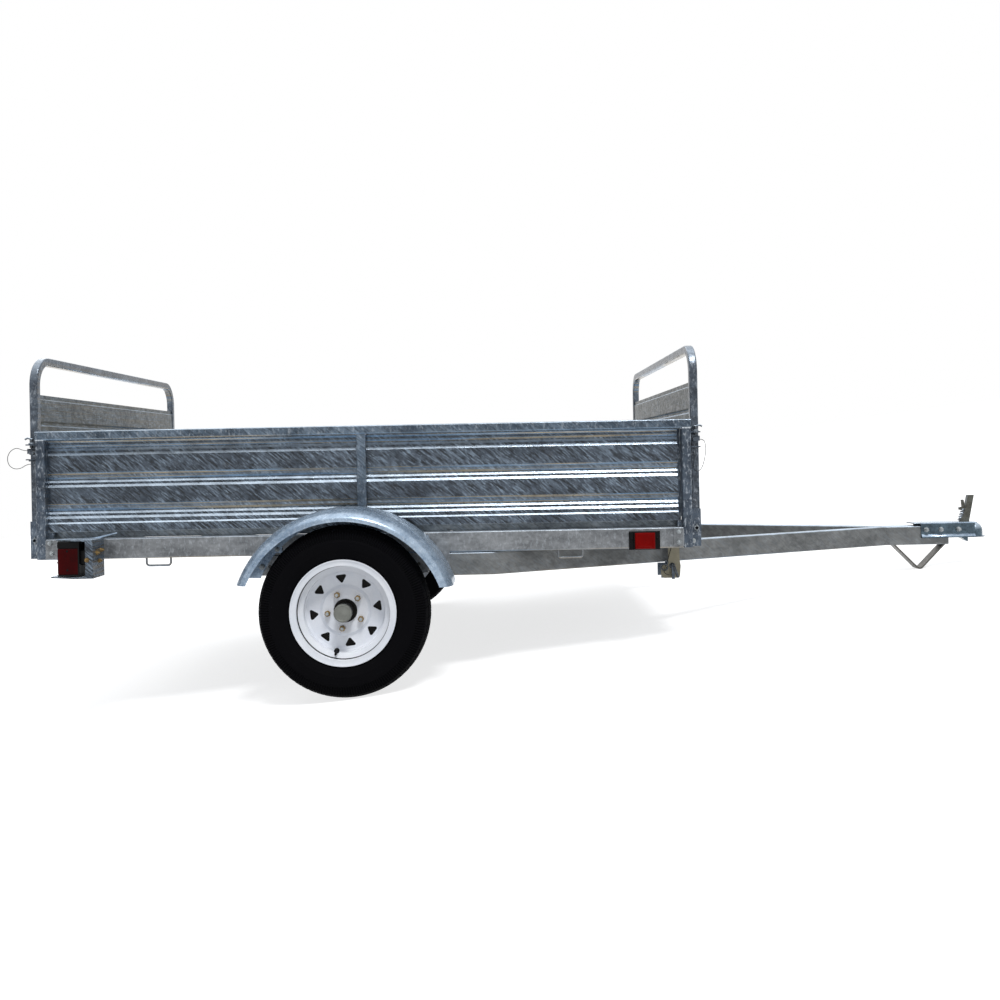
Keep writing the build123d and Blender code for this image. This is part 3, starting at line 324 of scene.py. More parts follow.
class Shape:
    """A mesh drawn in the road frame, in millimetres, on the left side of the trailer."""

    def __init__(self):
        self.mesh = bmesh.new()

    def loops(self, rings, closed=False):
        """Skin a row of rings of points, each ring a closed loop, and cap the ends of an open row."""
        made = [[self.mesh.verts.new(point) for point in ring] for ring in rings]
        pairs = list(zip(made, made[1:]))
        if closed:
            pairs.append((made[-1], made[0]))
        for below, above in pairs:
            for index in range(len(below)):
                following = (index + 1) % len(below)
                self.mesh.faces.new((below[index], below[following], above[following], above[index]))
        if not closed:
            self.mesh.faces.new(made[0][::-1])
            self.mesh.faces.new(made[-1])

    def lathe(self, profile, place, steps=24, turned=0.0, closed=False):
        """Turn a profile of (radius, height) about +Z of the place; a closed one makes a ring."""
        rings = []
        for radius, height in profile:
            angles = [turned + 2 * pi * step / steps for step in range(steps)]
            rings.append([place @ Vector((radius * cos(a), radius * sin(a), height)) for a in angles])
        self.loops(rings, closed)

    def prism(self, outline, low, high, place=Matrix(), edge=0.8):
        """A plate with a flat outline in the place's XY plane, its edges eased by a small chamfer."""
        middle = sum((Vector(point) for point in outline), Vector((0, 0))) / len(outline)
        rings = []
        for height, inset in ((low, edge), (low + edge, 0), (high - edge, 0), (high, edge)):
            ring = []
            for point in outline:
                inwards = (middle - Vector(point)).normalized() * inset
                ring.append(place @ Vector((point[0] + inwards.x, point[1] + inwards.y, height)))
            rings.append(ring)
        self.loops(rings)

    def block(self, x, y, z, edge=0.8):
        """A box between two values of each of x, y and z."""
        self.prism([(x[0], y[0]), (x[1], y[0]), (x[1], y[1]), (x[0], y[1])], z[0], z[1], edge=edge)

    def pipe(self, points, radius, steps=8, ripple=0.0, closed=False):
        """A round bar along the points; a ripple makes it swell and shrink like a weld bead."""
        points = [Vector(point) for point in points]
        rings = []
        side = None
        for index, point in enumerate(points):
            before = points[index - 1] if index or closed else point
            after = points[(index + 1) % len(points)] if index + 1 < len(points) or closed else point
            along = (after - before).normalized()
            if side is None:
                side = along.orthogonal().normalized()
            side = (side - along * side.dot(along)).normalized()
            other = along.cross(side)
            swollen = radius * (1 + ripple * sin(2.1 * index) * cos(0.7 * index))
            angles = [2 * pi * step / steps for step in range(steps)]
            rings.append([point + swollen * (side * cos(a) + other * sin(a)) for a in angles])
        self.loops(rings, closed=closed)

    def bolt(self, at, direction, size=8, stub=3):
        """A hexagon head or nut of that thread size, on its washer, with the end of the thread."""
        place = facing_along(at, direction)
        hole, rim, base = 0.8 * size, 1.05 * size, WASHER_THICKNESS
        self.lathe([(hole, 0), (rim, 0), (rim, base), (hole, base)], place, 20)
        across, top = 0.98 * size, base + 0.78 * size
        self.lathe([(across, base), (across, base + 0.62 * size), (0.86 * across, top)],
                   place, 6, turned=at[0])
        if stub:
            tip = top + stub
            self.lathe([(size / 2, base), (size / 2, tip - 0.6), (size / 2 - 0.8, tip)], place, 12)

    def screw(self, at, direction, head=4.5):
        """A low round head with a dimple in its middle."""
        place = facing_along(at, direction)
        dome = [(head, 0), (head, 0.5), (0.8 * head, 1.5), (0.35 * head, 2.1), (0.2 * head, 1.4)]
        self.lathe(dome, place, 14)

    def bead(self, first, last, radius=2.4):
        """A weld bead along a straight joint."""
        first, last = Vector(first), Vector(last)
        count = max(4, round((last - first).length / WELD_STEP))
        points = [first.lerp(last, step / count) for step in range(count + 1)]
        self.pipe(points, radius, 7, ripple=0.28)

    def mirror(self, keep=True):
        """Copy what is drawn to the right side, or move it there."""
        turned = list(self.mesh.verts) + list(self.mesh.edges) + list(self.mesh.faces)
        if keep:
            turned = bmesh.ops.duplicate(self.mesh, geom=turned)["geom"]
        for part in turned:
            if isinstance(part, bmesh.types.BMVert):
                part.co.y = -part.co.y
        faces = [part for part in turned if isinstance(part, bmesh.types.BMFace)]
        bmesh.ops.reverse_faces(self.mesh, faces=faces)


def piece(name, shape, body, material, replaces=()):
    """Turn a drawn shape into an object that rides on a body, where the trailer stands parked."""
    mesh = bpy.data.meshes.new(name)
    bmesh.ops.recalc_face_normals(shape.mesh, faces=shape.mesh.faces)
    shape.mesh.to_mesh(mesh)
    shape.mesh.free()
    mesh.transform(ROAD @ Matrix.Scale(MM, 4))
    mesh.shade_smooth()
    mesh.set_sharp_from_angle(angle=SHARP_ANGLE)
    mesh.materials.append(material)
    made = bpy.data.objects.new(name, mesh)
    bpy.context.scene.collection.objects.link(made)
    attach(made, body)
    if replaces:
        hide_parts(*replaces)


# ---------------------------------------------------------------- sizes shared with the CAD model
AXLE_Z, WHEEL_Y, TYRE_RADIUS = 269, 954, 277
BED_REAR, BED_FRONT, POST_WIDTH = -1057, 1152, 32
SIDE_FACE, SIDE_INNER, RAIL_FACE = 800, 759, 799
RAIL_BOTTOM, FLOOR_LEVEL, TOP_RAIL_Z = 436, 505, (839, 869)
FLOOR_EDGE_Y, FLOOR_RIB_STEP, PANEL_Y = 752.8, 150, (753, 757.5)
GATE_X, GATE_PIVOT_Z, GATE_HALF, GATE_TUBE = {"rear": -1076, "front": 1171}, 500, 760, 28
LATCH_Y = 779
STUD_CIRCLE, STUD_COUNT, FIRST_STUD = 114.3, 5, 44
TILT_BOLT = (312, 396)
SPRING_X, SPRING_Y = (-272, 228), 779
COUPLER_X, COUPLER_HALF, COUPLER_Z = (2222, 2450), 42, (386, 447)
TAIL_LAMP_X, TAIL_LAMP_Y, TAIL_LAMP_Z = (-953, -878), (806, 890), (388, 504)
TAIL_BRACKET_X, TAIL_BRACKET_Y = -830, 900
MARKER_X, MARKER_Z = 988, 463
MUDGUARD_PAD_FACE, TILT_LATCH_FACE, FOOT_TOP = 808, 519, 357.5
CROSS_XS = (-1038, -500, 40, 580, 1133)


# ---------------------------------------------------------------- tyres
def arc_points(first, through, last, count):
    """Points evenly along the arc through three points of a plane, without the last one."""
    (ax, ay), (bx, by), (cx, cy) = first, through, last
    double = 2 * (ax * (by - cy) + bx * (cy - ay) + cx * (ay - by))
    squares = [x * x + y * y for x, y in (first, through, last)]
    centre_x = (squares[0] * (by - cy) + squares[1] * (cy - ay) + squares[2] * (ay - by)) / double
    centre_y = (squares[0] * (cx - bx) + squares[1] * (ax - cx) + squares[2] * (bx - ax)) / double
    start = atan2(ay - centre_y, ax - centre_x)
    middle = (atan2(by - centre_y, bx - centre_x) - start) % (2 * pi)
    sweep = (atan2(cy - centre_y, cx - centre_x) - start) % (2 * pi)
    if middle > sweep:
        sweep -= 2 * pi
    radius = sqrt((ax - centre_x) ** 2 + (ay - centre_y) ** 2)
    angles = [start + sweep * step / count for step in range(count)]
    return [(centre_x + radius * cos(a), centre_y + radius * sin(a)) for a in angles]


TREAD_EDGE, TREAD_EDGE_RADIUS = 50, 262
FLANGE_WIDTH, FLANGE_RADIUS = 48, 172      # where the sidewall leaves the rim
BEAD_WIDTH, BEAD_RADIUS = 36, 153.5
WIDEST = (62, 208)                         # half width of the sidewall, and its radius
NOTCHES, COLUMNS_PER_NOTCH = 193, 4        # shoulder notches round the tyre
NOTCH_FOOT, NOTCH_DEPTH, NOTCH_SLANT = 236, 3.2, 0.7
RIB_PITCH, GROOVE_HALF, GROOVE_DEPTH, SIPE_DEPTH = 17, 2.4, 6, 2.5
TREAD_GROOVES = [RIB_PITCH * number for number in range(-2, 3)]
SIDEWALL_LINES = (178, 184, 200, 203, 226, 229)    # radii of thin raised lines
LINE_HALF, LINE_HEIGHT = 1.3, 0.7
SIDEWALL_STEPS, TREAD_STEPS = 34, 48


def tyre_height(outwards, radius, column):
    """How far the surface stands out from the smooth section at a column round the tyre."""
    if abs(outwards) < TREAD_EDGE - 1:
        groove = min(abs(outwards - centre) for centre in TREAD_GROOVES)
        if groove < GROOVE_HALF:
            return -GROOVE_DEPTH
        rib = round(outwards / RIB_PITCH + 0.5)
        sipe = (column + 2 * rib) % (3 * COLUMNS_PER_NOTCH)
        return -SIPE_DEPTH if sipe == 0 else 0
    if radius > NOTCH_FOOT:
        return -NOTCH_DEPTH if column % COLUMNS_PER_NOTCH < 2 else 0
    line = min(abs(radius - line_radius) for line_radius in SIDEWALL_LINES)
    return LINE_HEIGHT if line < LINE_HALF else 0


def tyre(side_name, mirrored):
    """The tyre with its grooves, sipes, shoulder notches and sidewall lines."""
    edge, other_edge = (TREAD_EDGE, TREAD_EDGE_RADIUS), (-TREAD_EDGE, TREAD_EDGE_RADIUS)
    sidewall = arc_points((FLANGE_WIDTH, FLANGE_RADIUS), WIDEST, edge, SIDEWALL_STEPS)
    outer = [(BEAD_WIDTH, BEAD_RADIUS), (FLANGE_WIDTH, BEAD_RADIUS)] + sidewall
    tread = arc_points(edge, (0, TYRE_RADIUS), other_edge, TREAD_STEPS)
    section = outer + tread + [other_edge] + [(-width, radius) for width, radius in outer[::-1]]
    columns = NOTCHES * COLUMNS_PER_NOTCH
    shape = Shape()
    rings = []
    for column in range(columns):
        angle = 2 * pi * column / columns
        ring = []
        for outwards, radius in section:
            out = tyre_height(outwards, radius, column)
            away = 1 if outwards > 0 else -1
            if abs(outwards) < TREAD_EDGE - 1:
                radius += out
            elif radius > NOTCH_FOOT:
                outwards += out * away * NOTCH_SLANT
                radius += out * NOTCH_SLANT
            else:
                outwards += out * away
            ring.append((radius * cos(angle), WHEEL_Y + outwards, AXLE_Z + radius * sin(angle)))
        rings.append(ring)
    shape.loops(rings, closed=True)
    if mirrored:
        shape.mirror(keep=False)
    piece(f"tyre_tread_{side_name}", shape, f"wheel_{side_name}",
          MATERIALS["tyre_rubber"], replaces=[f"tyre_{side_name}"])


# ---------------------------------------------------------------- wheel trim
VALVE_ANGLE, VALVE_RADIUS = radians(-102), 128


def wheel_trim(side_name, mirrored):
    """Nuts, studs, the hub cap's rim, the bead seat inside the rim's outer flange, and the valve."""
    nuts, studs, cap, band, valve = Shape(), Shape(), Shape(), Shape(), Shape()
    band.lathe([(151.5, 51.9), (149.4, 51.4), (149, 33), (151, 32)],
               facing_along((0, WHEEL_Y, AXLE_Z), OUT), 120, closed=True)
    for number in range(STUD_COUNT):
        angle = radians(FIRST_STUD + number * 360 / STUD_COUNT)
        stud = (STUD_CIRCLE / 2 * cos(angle), WHEEL_Y - 6, AXLE_Z + STUD_CIRCLE / 2 * sin(angle))
        place = facing_along(stud, OUT)
        nuts.lathe([(8, 0), (9.4, 4), (10, 5), (10, 14), (8.6, 16), (5.9, 16.4)], place, 6, turned=angle)
        studs.lathe([(5.8, 14), (5.8, 19), (4.6, 20.4)], place, 12)
    face = facing_along((0, WHEEL_Y + 50, AXLE_Z), OUT)
    cap.lathe([(28.3, 1), (29.2, 2), (29.2, 6), (28, 9), (24, 10), (22.6, 8.8), (10, 9), (3, 9.2)], face, 48)
    root_x, root_z = VALVE_RADIUS * cos(VALVE_ANGLE), AXLE_Z + VALVE_RADIUS * sin(VALVE_ANGLE)
    stem = [(8.5, -6), (8.5, 2), (5, 6), (3.9, 12), (3.9, 22), (2.7, 23), (2.7, 29), (2.2, 30)]
    leaning = (0.1 * cos(VALVE_ANGLE), 1, -0.25)
    valve.lathe(stem, facing_along((root_x, WHEEL_Y + 22, root_z), leaning), 16)
    for trim, name, slot, material in (
        (nuts, "wheel_nuts", "hub_steel", BRASS),
        (studs, "wheel_studs", "hub_steel", BOLT_ZINC),
        (cap, "hub_cap_rim", "hub_steel", CAP_GREY),
        (band, "rim_bead_seat", "white_paint", MATERIALS["white_paint"]),
        (valve, "tyre_valve", "tyre_rubber", MATERIALS["lamp"]),
    ):
        if mirrored:
            trim.mirror(keep=False)
        piece(f"{name}_{side_name}", trim, f"wheel_{side_name}", material)


for wheel_side, is_mirrored in (("left", False), ("right", True)):
    tyre(wheel_side, is_mirrored)
    wheel_trim(wheel_side, is_mirrored)


# ---------------------------------------------------------------- lamps
def lamp_pieces(name, housing, lens, lens_material, side_name, mirrored):
    """A lamp's housing, which stands for the CAD node of the same name, and its lens."""
    for shape, kind, material, hidden in (
        (housing, "housing", MATERIALS["lamp"], [f"{name}_{side_name}"]),
        (lens, "lens", lens_material, ()),
    ):
        if mirrored:
            shape.mirror(keep=False)
        piece(f"{name}_{kind}_{side_name}", shape, "bed", material, replaces=hidden)


def tail_lamp(side_name, mirrored):
    """A box lamp whose lens fills its outer side and its rear."""
    (rear, front), (inner, outer), (low, high) = TAIL_LAMP_X, TAIL_LAMP_Y, TAIL_LAMP_Z
    housing, lens = Shape(), Shape()
    housing.block((front - 5, front), (inner, outer), (low, high), edge=1.5)
    housing.block((rear + 3, front - 5), (inner + 1, outer - 1), (high - 24, high), edge=3)
    housing.block((rear + 3, front - 5), (inner + 1, outer - 1), (low, low + 7), edge=2)
    housing.block((front, -834), (830, 880), (425, 475), edge=4)
    lens.block((rear + 4, front - 4), (inner + 2, outer - 1), (low + 6, high - 23), edge=3)
    # Upright ribs of the lens, the bar between its two fields, and the screws
    for number in range(13):
        rib_y = inner + 8 + number * 5.6
        lens.block((rear + 1.5, rear + 6), (rib_y, rib_y + 2.6), (low + 12, high - 30), edge=0.8)
    lens.block((rear, rear + 6), (inner + 4, outer - 4), (low + 45, low + 49), edge=1)
    for screw_z in (high - 32, low + 22):
        housing.screw((rear + 35, outer - 2, screw_z), OUT, head=4)
        housing.screw((rear + 2, inner + 12, screw_z), REAR, head=3.5)
    lamp_pieces("tail_lamp", housing, lens, RED_LENS, side_name, mirrored)


def standing(x, y, z):
    """The matrix that stands a piece drawn in XY on its edge, its front turned outwards."""
    return Matrix(((-1, 0, 0, x), (0, 0, 1, y), (0, 1, 0, z), (0, 0, 0, 1)))


def corners_of(half_x, half_z):
    """The corners of a rectangle about the origin."""
    return [(half_x, half_z), (-half_x, half_z), (-half_x, -half_z), (half_x, -half_z)]


def marker_lamp(side_name, mirrored):
    """A flat lamp in a stepped housing, with ribs and two frames on its lens."""
    housing, lens = Shape(), Shape()
    upright = standing(MARKER_X, RAIL_FACE, MARKER_Z)
    housing.prism(corners_of(52, 31), 0, 9, upright, edge=3)
    housing.prism(corners_of(37.96, 28.83), 8, 15, upright, edge=2)
    lens.prism(corners_of(33.54, 26.97), 10, 22, upright, edge=3)
    for half_x, half_z in ((24, 19), (12, 5)):
        ring = [upright @ Vector((x, z, 21)) for x, z in corners_of(half_x, half_z)]
        lens.pipe(ring, 1.5, 6, closed=True)
    for number in range(9):
        rib_x = -26 + number * 6.5
        rib = [(rib_x - 1, -22), (rib_x + 1, -22), (rib_x + 1, 22), (rib_x - 1, 22)]
        lens.prism(rib, 20, 22.6, upright, edge=0.4)
    for screw_x in (-43, 43):
        housing.screw(upright @ Vector((screw_x, 6, 9)), OUT, head=4.5)
    lamp_pieces("marker_lamp", housing, lens, MARKER_RED, side_name, mirrored)


for lamp_side, is_mirrored in (("left", False), ("right", True)):
    tail_lamp(lamp_side, is_mirrored)
    marker_lamp(lamp_side, is_mirrored)

# ---------------------------------------------------------------- bolts and nuts
fasteners = Shape()
# Corner gussets on the side rail
for bolt_x, bolt_z in ((-1010, 492), (-1004, 459), (1104, 491), (1104, 455)):
    fasteners.bolt((bolt_x, RAIL_FACE + 3, bolt_z), OUT, 8)
# Mudguard pads, on the inside of the band
for pad_x in (-246, 246):
    for bolt_z in (458, 482):
        fasteners.bolt((pad_x, MUDGUARD_PAD_FACE, bolt_z), OUT, 8, stub=5)
# Spring eyes and tilt bolts
for eye_x in SPRING_X:
    fasteners.bolt((eye_x - 25, SPRING_Y + 26, 400), OUT, 11, stub=5)
fasteners.bolt((TILT_BOLT[0], RAIL_FACE + 5.5, TILT_BOLT[1]), OUT, 16, stub=0)
# Tail lamp studs on the bracket, and the bracket's own bolts
tail_nuts = Shape()
for stud_y, stud_z in ((830, 470), (848, 436), (868, 464)):
    tail_nuts.bolt((TAIL_BRACKET_X, stud_y, stud_z), FORWARD, 7, stub=5)
tail_nuts.bolt((TAIL_BRACKET_X - 19, TAIL_BRACKET_Y, 443), OUT, 7, stub=5)
tail_nuts.mirror()
piece("tail_lamp_nuts", tail_nuts, "bed", BRASS)
# Ends of the gates' hinge pins outside the lugs, with their clips, and the lugs' bolts
for pin_x in GATE_X.values():
    fasteners.lathe([(8.5, 0), (8.5, 2), (6.1, 2.2), (6.1, 5), (4.8, 6)],
                    facing_along((pin_x, GATE_HALF + 6, GATE_PIVOT_Z), OUT), 20)
    fasteners.bolt((pin_x + (12 if pin_x < 0 else -12), GATE_HALF + 6, 456), OUT, 8, stub=2)
    clip_y = GATE_HALF + 10
    fasteners.pipe([(pin_x, clip_y, GATE_PIVOT_Z + 13), (pin_x, clip_y, GATE_PIVOT_Z - 13)], 1.4)
fasteners.mirror()
# Floor screws, on every cross member between the ribs
for member_x in CROSS_XS:
    for gap in range(-5, 5):
        fasteners.screw((member_x, (gap + 0.5) * FLOOR_RIB_STEP, FLOOR_LEVEL + 1.6), UP, head=6)
piece("bed_fasteners", fasteners, "bed", BOLT_ZINC)

# U-bolts that hold the axle under the springs
u_bolts = Shape()
for bolt_x in (-34, 24):
    over = [(-25, 232), (-25, 322), (-20, 329), (20, 329), (25, 322), (25, 232)]
    u_bolts.pipe([(bolt_x, SPRING_Y + y, z) for y, z in over], 4.8, 10)
    for nut_y in (SPRING_Y - 25, SPRING_Y + 25):
        u_bolts.bolt((bolt_x, nut_y, 243), DOWN, 9, stub=4)
u_bolts.block((-48, 38), (SPRING_Y - 36, SPRING_Y + 36), (241, 246), edge=1)
u_bolts.mirror()
piece("spring_u_bolts", u_bolts, "bed", MATERIALS["running_gear"])

# Coupler bolts
tongue_bolts = Shape()
for bolt_x in (2243, 2303, 2375):
    tongue_bolts.bolt((bolt_x, COUPLER_HALF, 419), OUT, 10, stub=4)
tongue_bolts.mirror()
piece("tongue_bolts", tongue_bolts, "tongue", BOLT_ZINC)

# ---------------------------------------------------------------- strips, flanges and latch faces
# Strips that close the ends of the side panels against the posts, and the floor's edge on the rail
strips = Shape()
between = (BED_REAR + POST_WIDTH, BED_FRONT - POST_WIDTH)
strips.block(between, (FLOOR_EDGE_Y, SIDE_INNER + 0.5), (FLOOR_LEVEL - 2, FLOOR_LEVEL - 0.5), edge=0.3)
for strip_x in ((between[0], between[0] + 16), (between[1] - 16, between[1])):
    strips.block(strip_x, PANEL_Y, (FLOOR_LEVEL + 2, TOP_RAIL_Z[0] - 1), edge=0.5)
    strips.block(strip_x, (757, 776), (FLOOR_LEVEL + 1, FLOOR_LEVEL + 22), edge=0.5)
strips.mirror()
piece("panel_end_strips", strips, "bed", SHADES["post_"])

# Pressed flange over the tail lamp's bracket, rising forward along the side rail
flange = Shape()
rising = [(985, 501), (860, 503), (784, 522), (784, 526), (862, 509), (985, 506)]
flange.prism(rising, 0.5, 3.5, standing(0, RAIL_FACE, 0), edge=0.4)
flange.mirror()
piece("tail_bracket_flange", flange, "bed", MATERIALS["mudguard_sheet"])

# Faces of the tilt latch, with their round lower corners
tilt_plates = Shape()
lobe = [(-1084, 316), (-1088, 307), (-1096, 301.5), (-1148, 301.5), (-1153, 308), (-1156, 345),
        (-1152, 372), (-1152, 435), (-1112, 435), (-1110, 352), (-1092, 349), (-1084, 340)]
tilt_plates.prism(lobe, 0.2, 2.4, standing(0, TILT_LATCH_FACE, 0), edge=0.4)
tilt_plates.mirror()
piece("tilt_latch_faces", tilt_plates, "bed", WARM_PLATE)

# ---------------------------------------------------------------- welds
welds = Shape()
rail_foot = TOP_RAIL_Z[0]
for post_rear, post_front in ((BED_REAR, BED_REAR + POST_WIDTH), (BED_FRONT - POST_WIDTH, BED_FRONT)):
    for bead_y in (SIDE_FACE - 0.5, SIDE_INNER + 1):
        welds.bead((post_rear + 2, bead_y, rail_foot), (post_front - 2, bead_y, rail_foot))
    rail_x = post_front if post_rear < 0 else post_rear
    welds.bead((rail_x, RAIL_FACE - 1, RAIL_BOTTOM + 5), (rail_x, RAIL_FACE - 1, FLOOR_LEVEL - 5), 2.2)
    welds.bead((rail_x, SIDE_FACE - 26, rail_foot), (rail_x, SIDE_FACE - 4, rail_foot), 2.2)
for stake_x in (24, 56):
    for joint_z in (FLOOR_LEVEL, rail_foot):
        welds.bead((stake_x, SIDE_FACE - 20, joint_z), (stake_x, SIDE_FACE - 2, joint_z), 2)
for member_x in CROSS_XS[1:-1]:
    for edge_x in (member_x - 19, member_x + 19):
        welds.bead((edge_x, SIDE_INNER - 0.5, 458), (edge_x, SIDE_INNER - 0.5, 502), 2.2)
for hanger_x in SPRING_X:
    for edge_x in (hanger_x - 36, hanger_x + 32):
        welds.bead((edge_x, SPRING_Y - 18, RAIL_BOTTOM), (edge_x, SPRING_Y + 18, RAIL_BOTTOM), 2.2)
welds.mirror()
piece("bed_welds", welds, "bed", WELD)

tongue_welds = Shape()
for foot_x in (2116, 2326):
    tongue_welds.bead((foot_x, -24, FOOT_TOP), (foot_x, 24, FOOT_TOP))
piece("tongue_welds", tongue_welds, "tongue", WELD)

for gate_end, gate_body in (("rear", "rear_gate"), ("front", "front_gate")):
    gate_welds = Shape()
    gate_x, leg_inner = GATE_X[gate_end], GATE_HALF - GATE_TUBE
    for tube_z in (524, 552):
        gate_welds.bead((gate_x - 12, leg_inner, tube_z), (gate_x + 12, leg_inner, tube_z), 2)
    panel_x = gate_x + (8 if gate_x < 0 else -8)
    for low_z in range(570, 990, 70):
        gate_welds.bead((panel_x, leg_inner - 1, low_z), (panel_x, leg_inner - 1, low_z + 22), 2)
    gate_welds.mirror()
    piece(f"gate_welds_{gate_end}", gate_welds, gate_body, WELD)

# ---------------------------------------------------------------- latches
latches = Shape()
for pin_x in GATE_X.values():
    outwards = -1 if pin_x < 0 else 1
    # The drawn pin stands in the upper keeper, with its pull bent outwards
    latches.lathe([(6, 0), (6, 30), (4.5, 32)], facing_along((pin_x, LATCH_Y, 815), UP), 16)
    pull = ((0, 838), (5, 846), (14, 848), (22, 844))
    latches.pipe([(pin_x + outwards * reach, LATCH_Y, z) for reach, z in pull], 3.2)
    latches.lathe([(9, 0), (10, 1), (10, 3.5), (9, 4.5)], facing_along((pin_x, LATCH_Y, 827), UP), 20)
    latches.lathe([(9, 0), (10, 1), (10, 3), (9, 4)], facing_along((pin_x, LATCH_Y, 769), UP), 20)
# Tilt latch: washer of its pin, the ring on its lanyard, and its handle
latches.lathe([(7, 0), (11, 0.5), (11, 3), (7, 3.5)], facing_along((1125, TILT_LATCH_FACE, 346), OUT), 20)
ring_angles = [2 * pi * step / 24 for step in range(24)]
latches.pipe([(1096 + 11 * cos(a), 529, 341 + 11 * sin(a)) for a in ring_angles], 2.2, closed=True)
latches.pipe([(1125, 549, 352), (1127, 549, 346), (1141, 549, 306)], 5, 10)
latches.mirror()
piece("latch_hardware", latches, "bed", LATCH_STEEL)

# Coupler: flared foot and rolled upper edges of its channel, in pale zinc as a painted highlight, and the
# spring of its lever
trim = Shape()
across_tongue = Matrix(((0, 0, 1, 0), (1, 0, 0, 0), (0, 1, 0, 0), (0, 0, 0, 1)))
(back, nose), half, (bottom, top) = COUPLER_X, COUPLER_HALF, COUPLER_Z
flare = [(half - 1, bottom + 15), (half + 1, bottom + 14), (half + 8, bottom + 7),
         (half + 9, bottom + 1), (half - 1, bottom + 1)]
trim.prism(flare, back + 1, nose - 9, across_tongue, edge=0.5)
trim.pipe([(back + 2, half - 2.6, top - 2.6), (nose - 2, half - 2.6, top - 2.6)], 3, 12)
trim.mirror()
piece("coupler_edges_painted_highlight", trim, "tongue", MATERIALS["mudguard_sheet"])
spring = Shape()
low_end, high_end = Vector((2396, 0, top + 4)), Vector((2411, 0, top + 52))
COIL_RADIUS, COILS, COIL_STEPS = 7, 7, 12
coil = []
for step in range(COILS * COIL_STEPS + 1):
    angle = 2 * pi * step / COIL_STEPS
    centre = low_end.lerp(high_end, step / (COILS * COIL_STEPS))
    coil.append(centre + COIL_RADIUS * Vector((cos(angle), sin(angle), 0)))
spring.pipe(coil, 1.7, 6)
piece("coupler_spring", spring, "tongue", LATCH_STEEL)

# ---------------------------------------------------------------- wire lanyards
# Route of the left one in metres, its length, and the body that it rides on
LANYARDS = {
    "gate_rear": (0.193, "rear_gate", [
        (-1.089, 0.779, 0.806), (-1.104, 0.779, 0.806), (-1.127, 0.779, 0.817),
        (-1.149, 0.778, 0.806), (-1.161, 0.776, 0.784), (-1.158, 0.774, 0.759),
        (-1.141, 0.771, 0.744), (-1.119, 0.764, 0.746), (-1.105, 0.752, 0.760), (-1.090, 0.752, 0.760),
    ]),
    "gate_front": (0.222, "front_gate", [
        (1.184, 0.779, 0.800), (1.198, 0.779, 0.800), (1.205, 0.779, 0.778), (1.203, 0.780, 0.750),
        (1.197, 0.781, 0.723), (1.189, 0.782, 0.702), (1.176, 0.783, 0.690), (1.163, 0.784, 0.696),
        (1.160, 0.784, 0.713), (1.163, 0.784, 0.732), (1.165, 0.784, 0.756), (1.165, 0.760, 0.756),
    ]),
    "tilt": (0.150, "bed", [
        (1.124, 0.524, 0.436), (1.124, 0.524, 0.416), (1.116, 0.524, 0.393), (1.109, 0.526, 0.368),
        (1.098, 0.530, 0.346), (1.090, 0.536, 0.327), (1.103, 0.541, 0.314), (1.120, 0.541, 0.314),
    ]),
}
WIRE = 0.002
for lanyard, (wire_length, wire_body, route) in LANYARDS.items():
    for wire_side, sign in (("left", 1), ("right", -1)):
        points = [ROAD @ Vector((x, sign * y, z)) for x, y, z in route]
        curve = bpy.data.curves.new(f"wire_{lanyard}_{wire_side}", "CURVE")
        curve.dimensions = "3D"
        curve.bevel_depth = WIRE / 2
        curve.bevel_resolution = 3
        curve.resolution_u = 8
        curve.use_fill_caps = True
        spline = curve.splines.new("NURBS")
        spline.points.add(len(points) - 1)
        for control, point in zip(spline.points, points):
            control.co = (*point, 1)
        spline.order_u = 3
        spline.use_endpoint_u = True
        curve.materials.append(MATERIALS["steel_wire"])
        wire = bpy.data.objects.new(f"wire_{lanyard}_{wire_side}", curve)
        bpy.context.scene.collection.objects.link(wire)
        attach(wire, wire_body)
        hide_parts(f"lanyard_{lanyard}_{wire_side}")

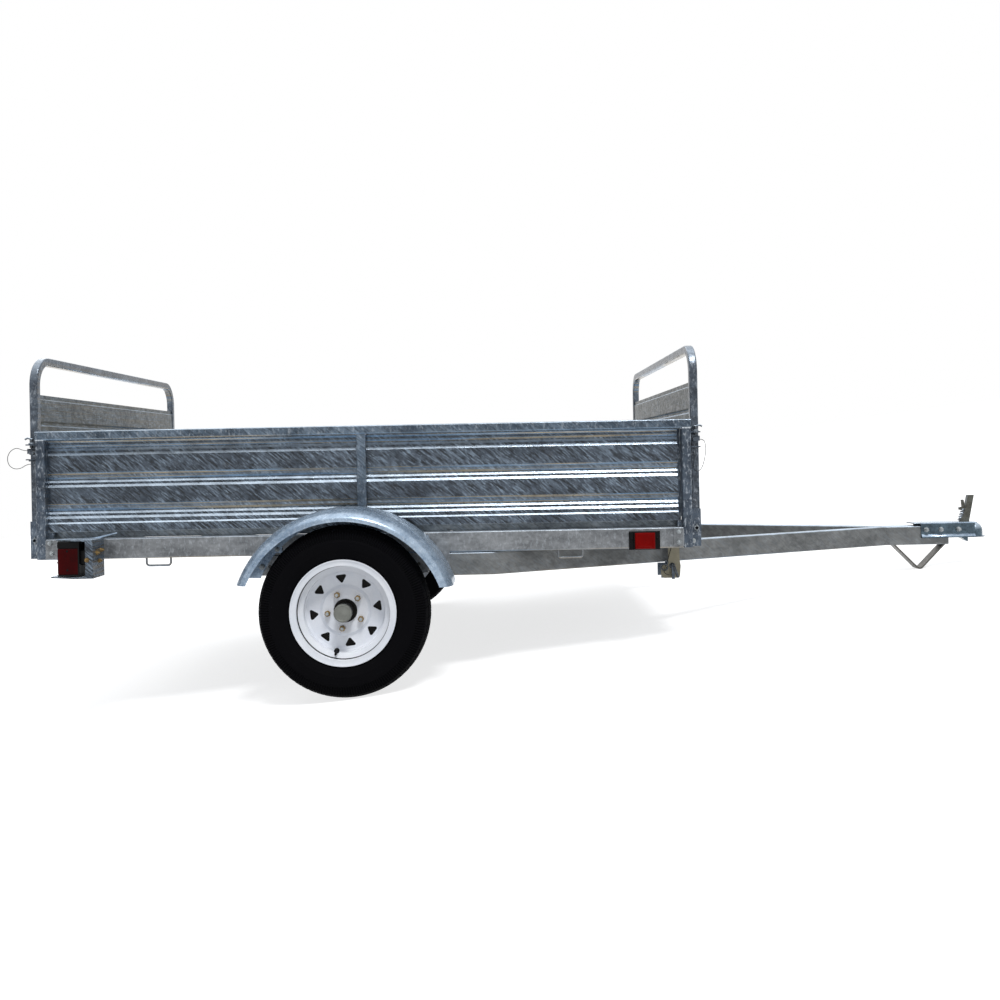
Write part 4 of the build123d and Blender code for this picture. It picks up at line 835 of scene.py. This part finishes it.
# ---------------------------------------------------------------- floor, light and background
def seen(tree):
    """1 for what the camera, a reflection or a lens sees directly, and 0 for scattered light."""
    path = tree.node("LightPath")
    first = tree.math("MAXIMUM", path.outputs["Is Camera Ray"], path.outputs["Is Glossy Ray"])
    return tree.math("MAXIMUM", first, path.outputs["Is Transmission Ray"])


SKY_LIGHT, SKY_SEEN = 0.5, 1.0             # strength of the sky as light, and as the camera sees it
FLOOR_HALF = 40
FLOOR_GLOW = 0.74                          # whitens the floor that the camera sees, and lights nothing

bpy.context.scene.world = bpy.data.worlds.new("studio")
world = Tree(bpy.context.scene.world)
sky = world.nodes["Background"]
world.set(sky, {
    "Color": world.mix(seen(world), rgb(236, 240, 246), (1, 1, 1, 1)),
    "Strength": world.spread(seen(world), 0, 1, SKY_LIGHT, SKY_SEEN),
})

floor_mesh = bpy.data.meshes.new("floor")
floor_mesh.from_pydata(
    [(x, y, 0) for x, y in ((-1, -1), (1, -1), (1, 1), (-1, 1))], [], [(0, 1, 2, 3)]
)
floor_mesh.transform(Matrix.Scale(FLOOR_HALF, 4))
floor = bpy.data.objects.new("floor", floor_mesh)
bpy.context.scene.collection.objects.link(floor)
floor_tree = Tree(bpy.data.materials.new("floor_white"))
floor_shader = floor_tree.nodes["Principled BSDF"]
floor_tree.set(floor_shader, {
    "Base Color": (0.5, 0.5, 0.5, 1), "Roughness": 0.9, "Specular IOR Level": 0.0,
    "Emission Color": (1, 1, 1, 1),
    "Emission Strength": floor_tree.spread(seen(floor_tree), 0, 1, 0, FLOOR_GLOW),
})
floor_mesh.materials.append(floor_tree.owner)

# name, where it comes from, W/m2, degrees across
LAMPS = (
    ("key", Vector((0.30, -0.55, 1.0)), 1.7, 14),
    ("top", Vector((0.0, 0.0, 1.0)), 0.8, 60),
    ("fill", Vector((-0.5, 1.0, 0.8)), 0.5, 40),
)
for lamp_name, source, strength, across in LAMPS:
    lamp_data = bpy.data.lights.new(lamp_name, "SUN")
    lamp_data.energy = strength
    lamp_data.angle = radians(across)
    lamp = bpy.data.objects.new(lamp_name, lamp_data)
    bpy.context.scene.collection.objects.link(lamp)
    lamp.rotation_euler = source.to_track_quat("Z", "Y").to_euler()
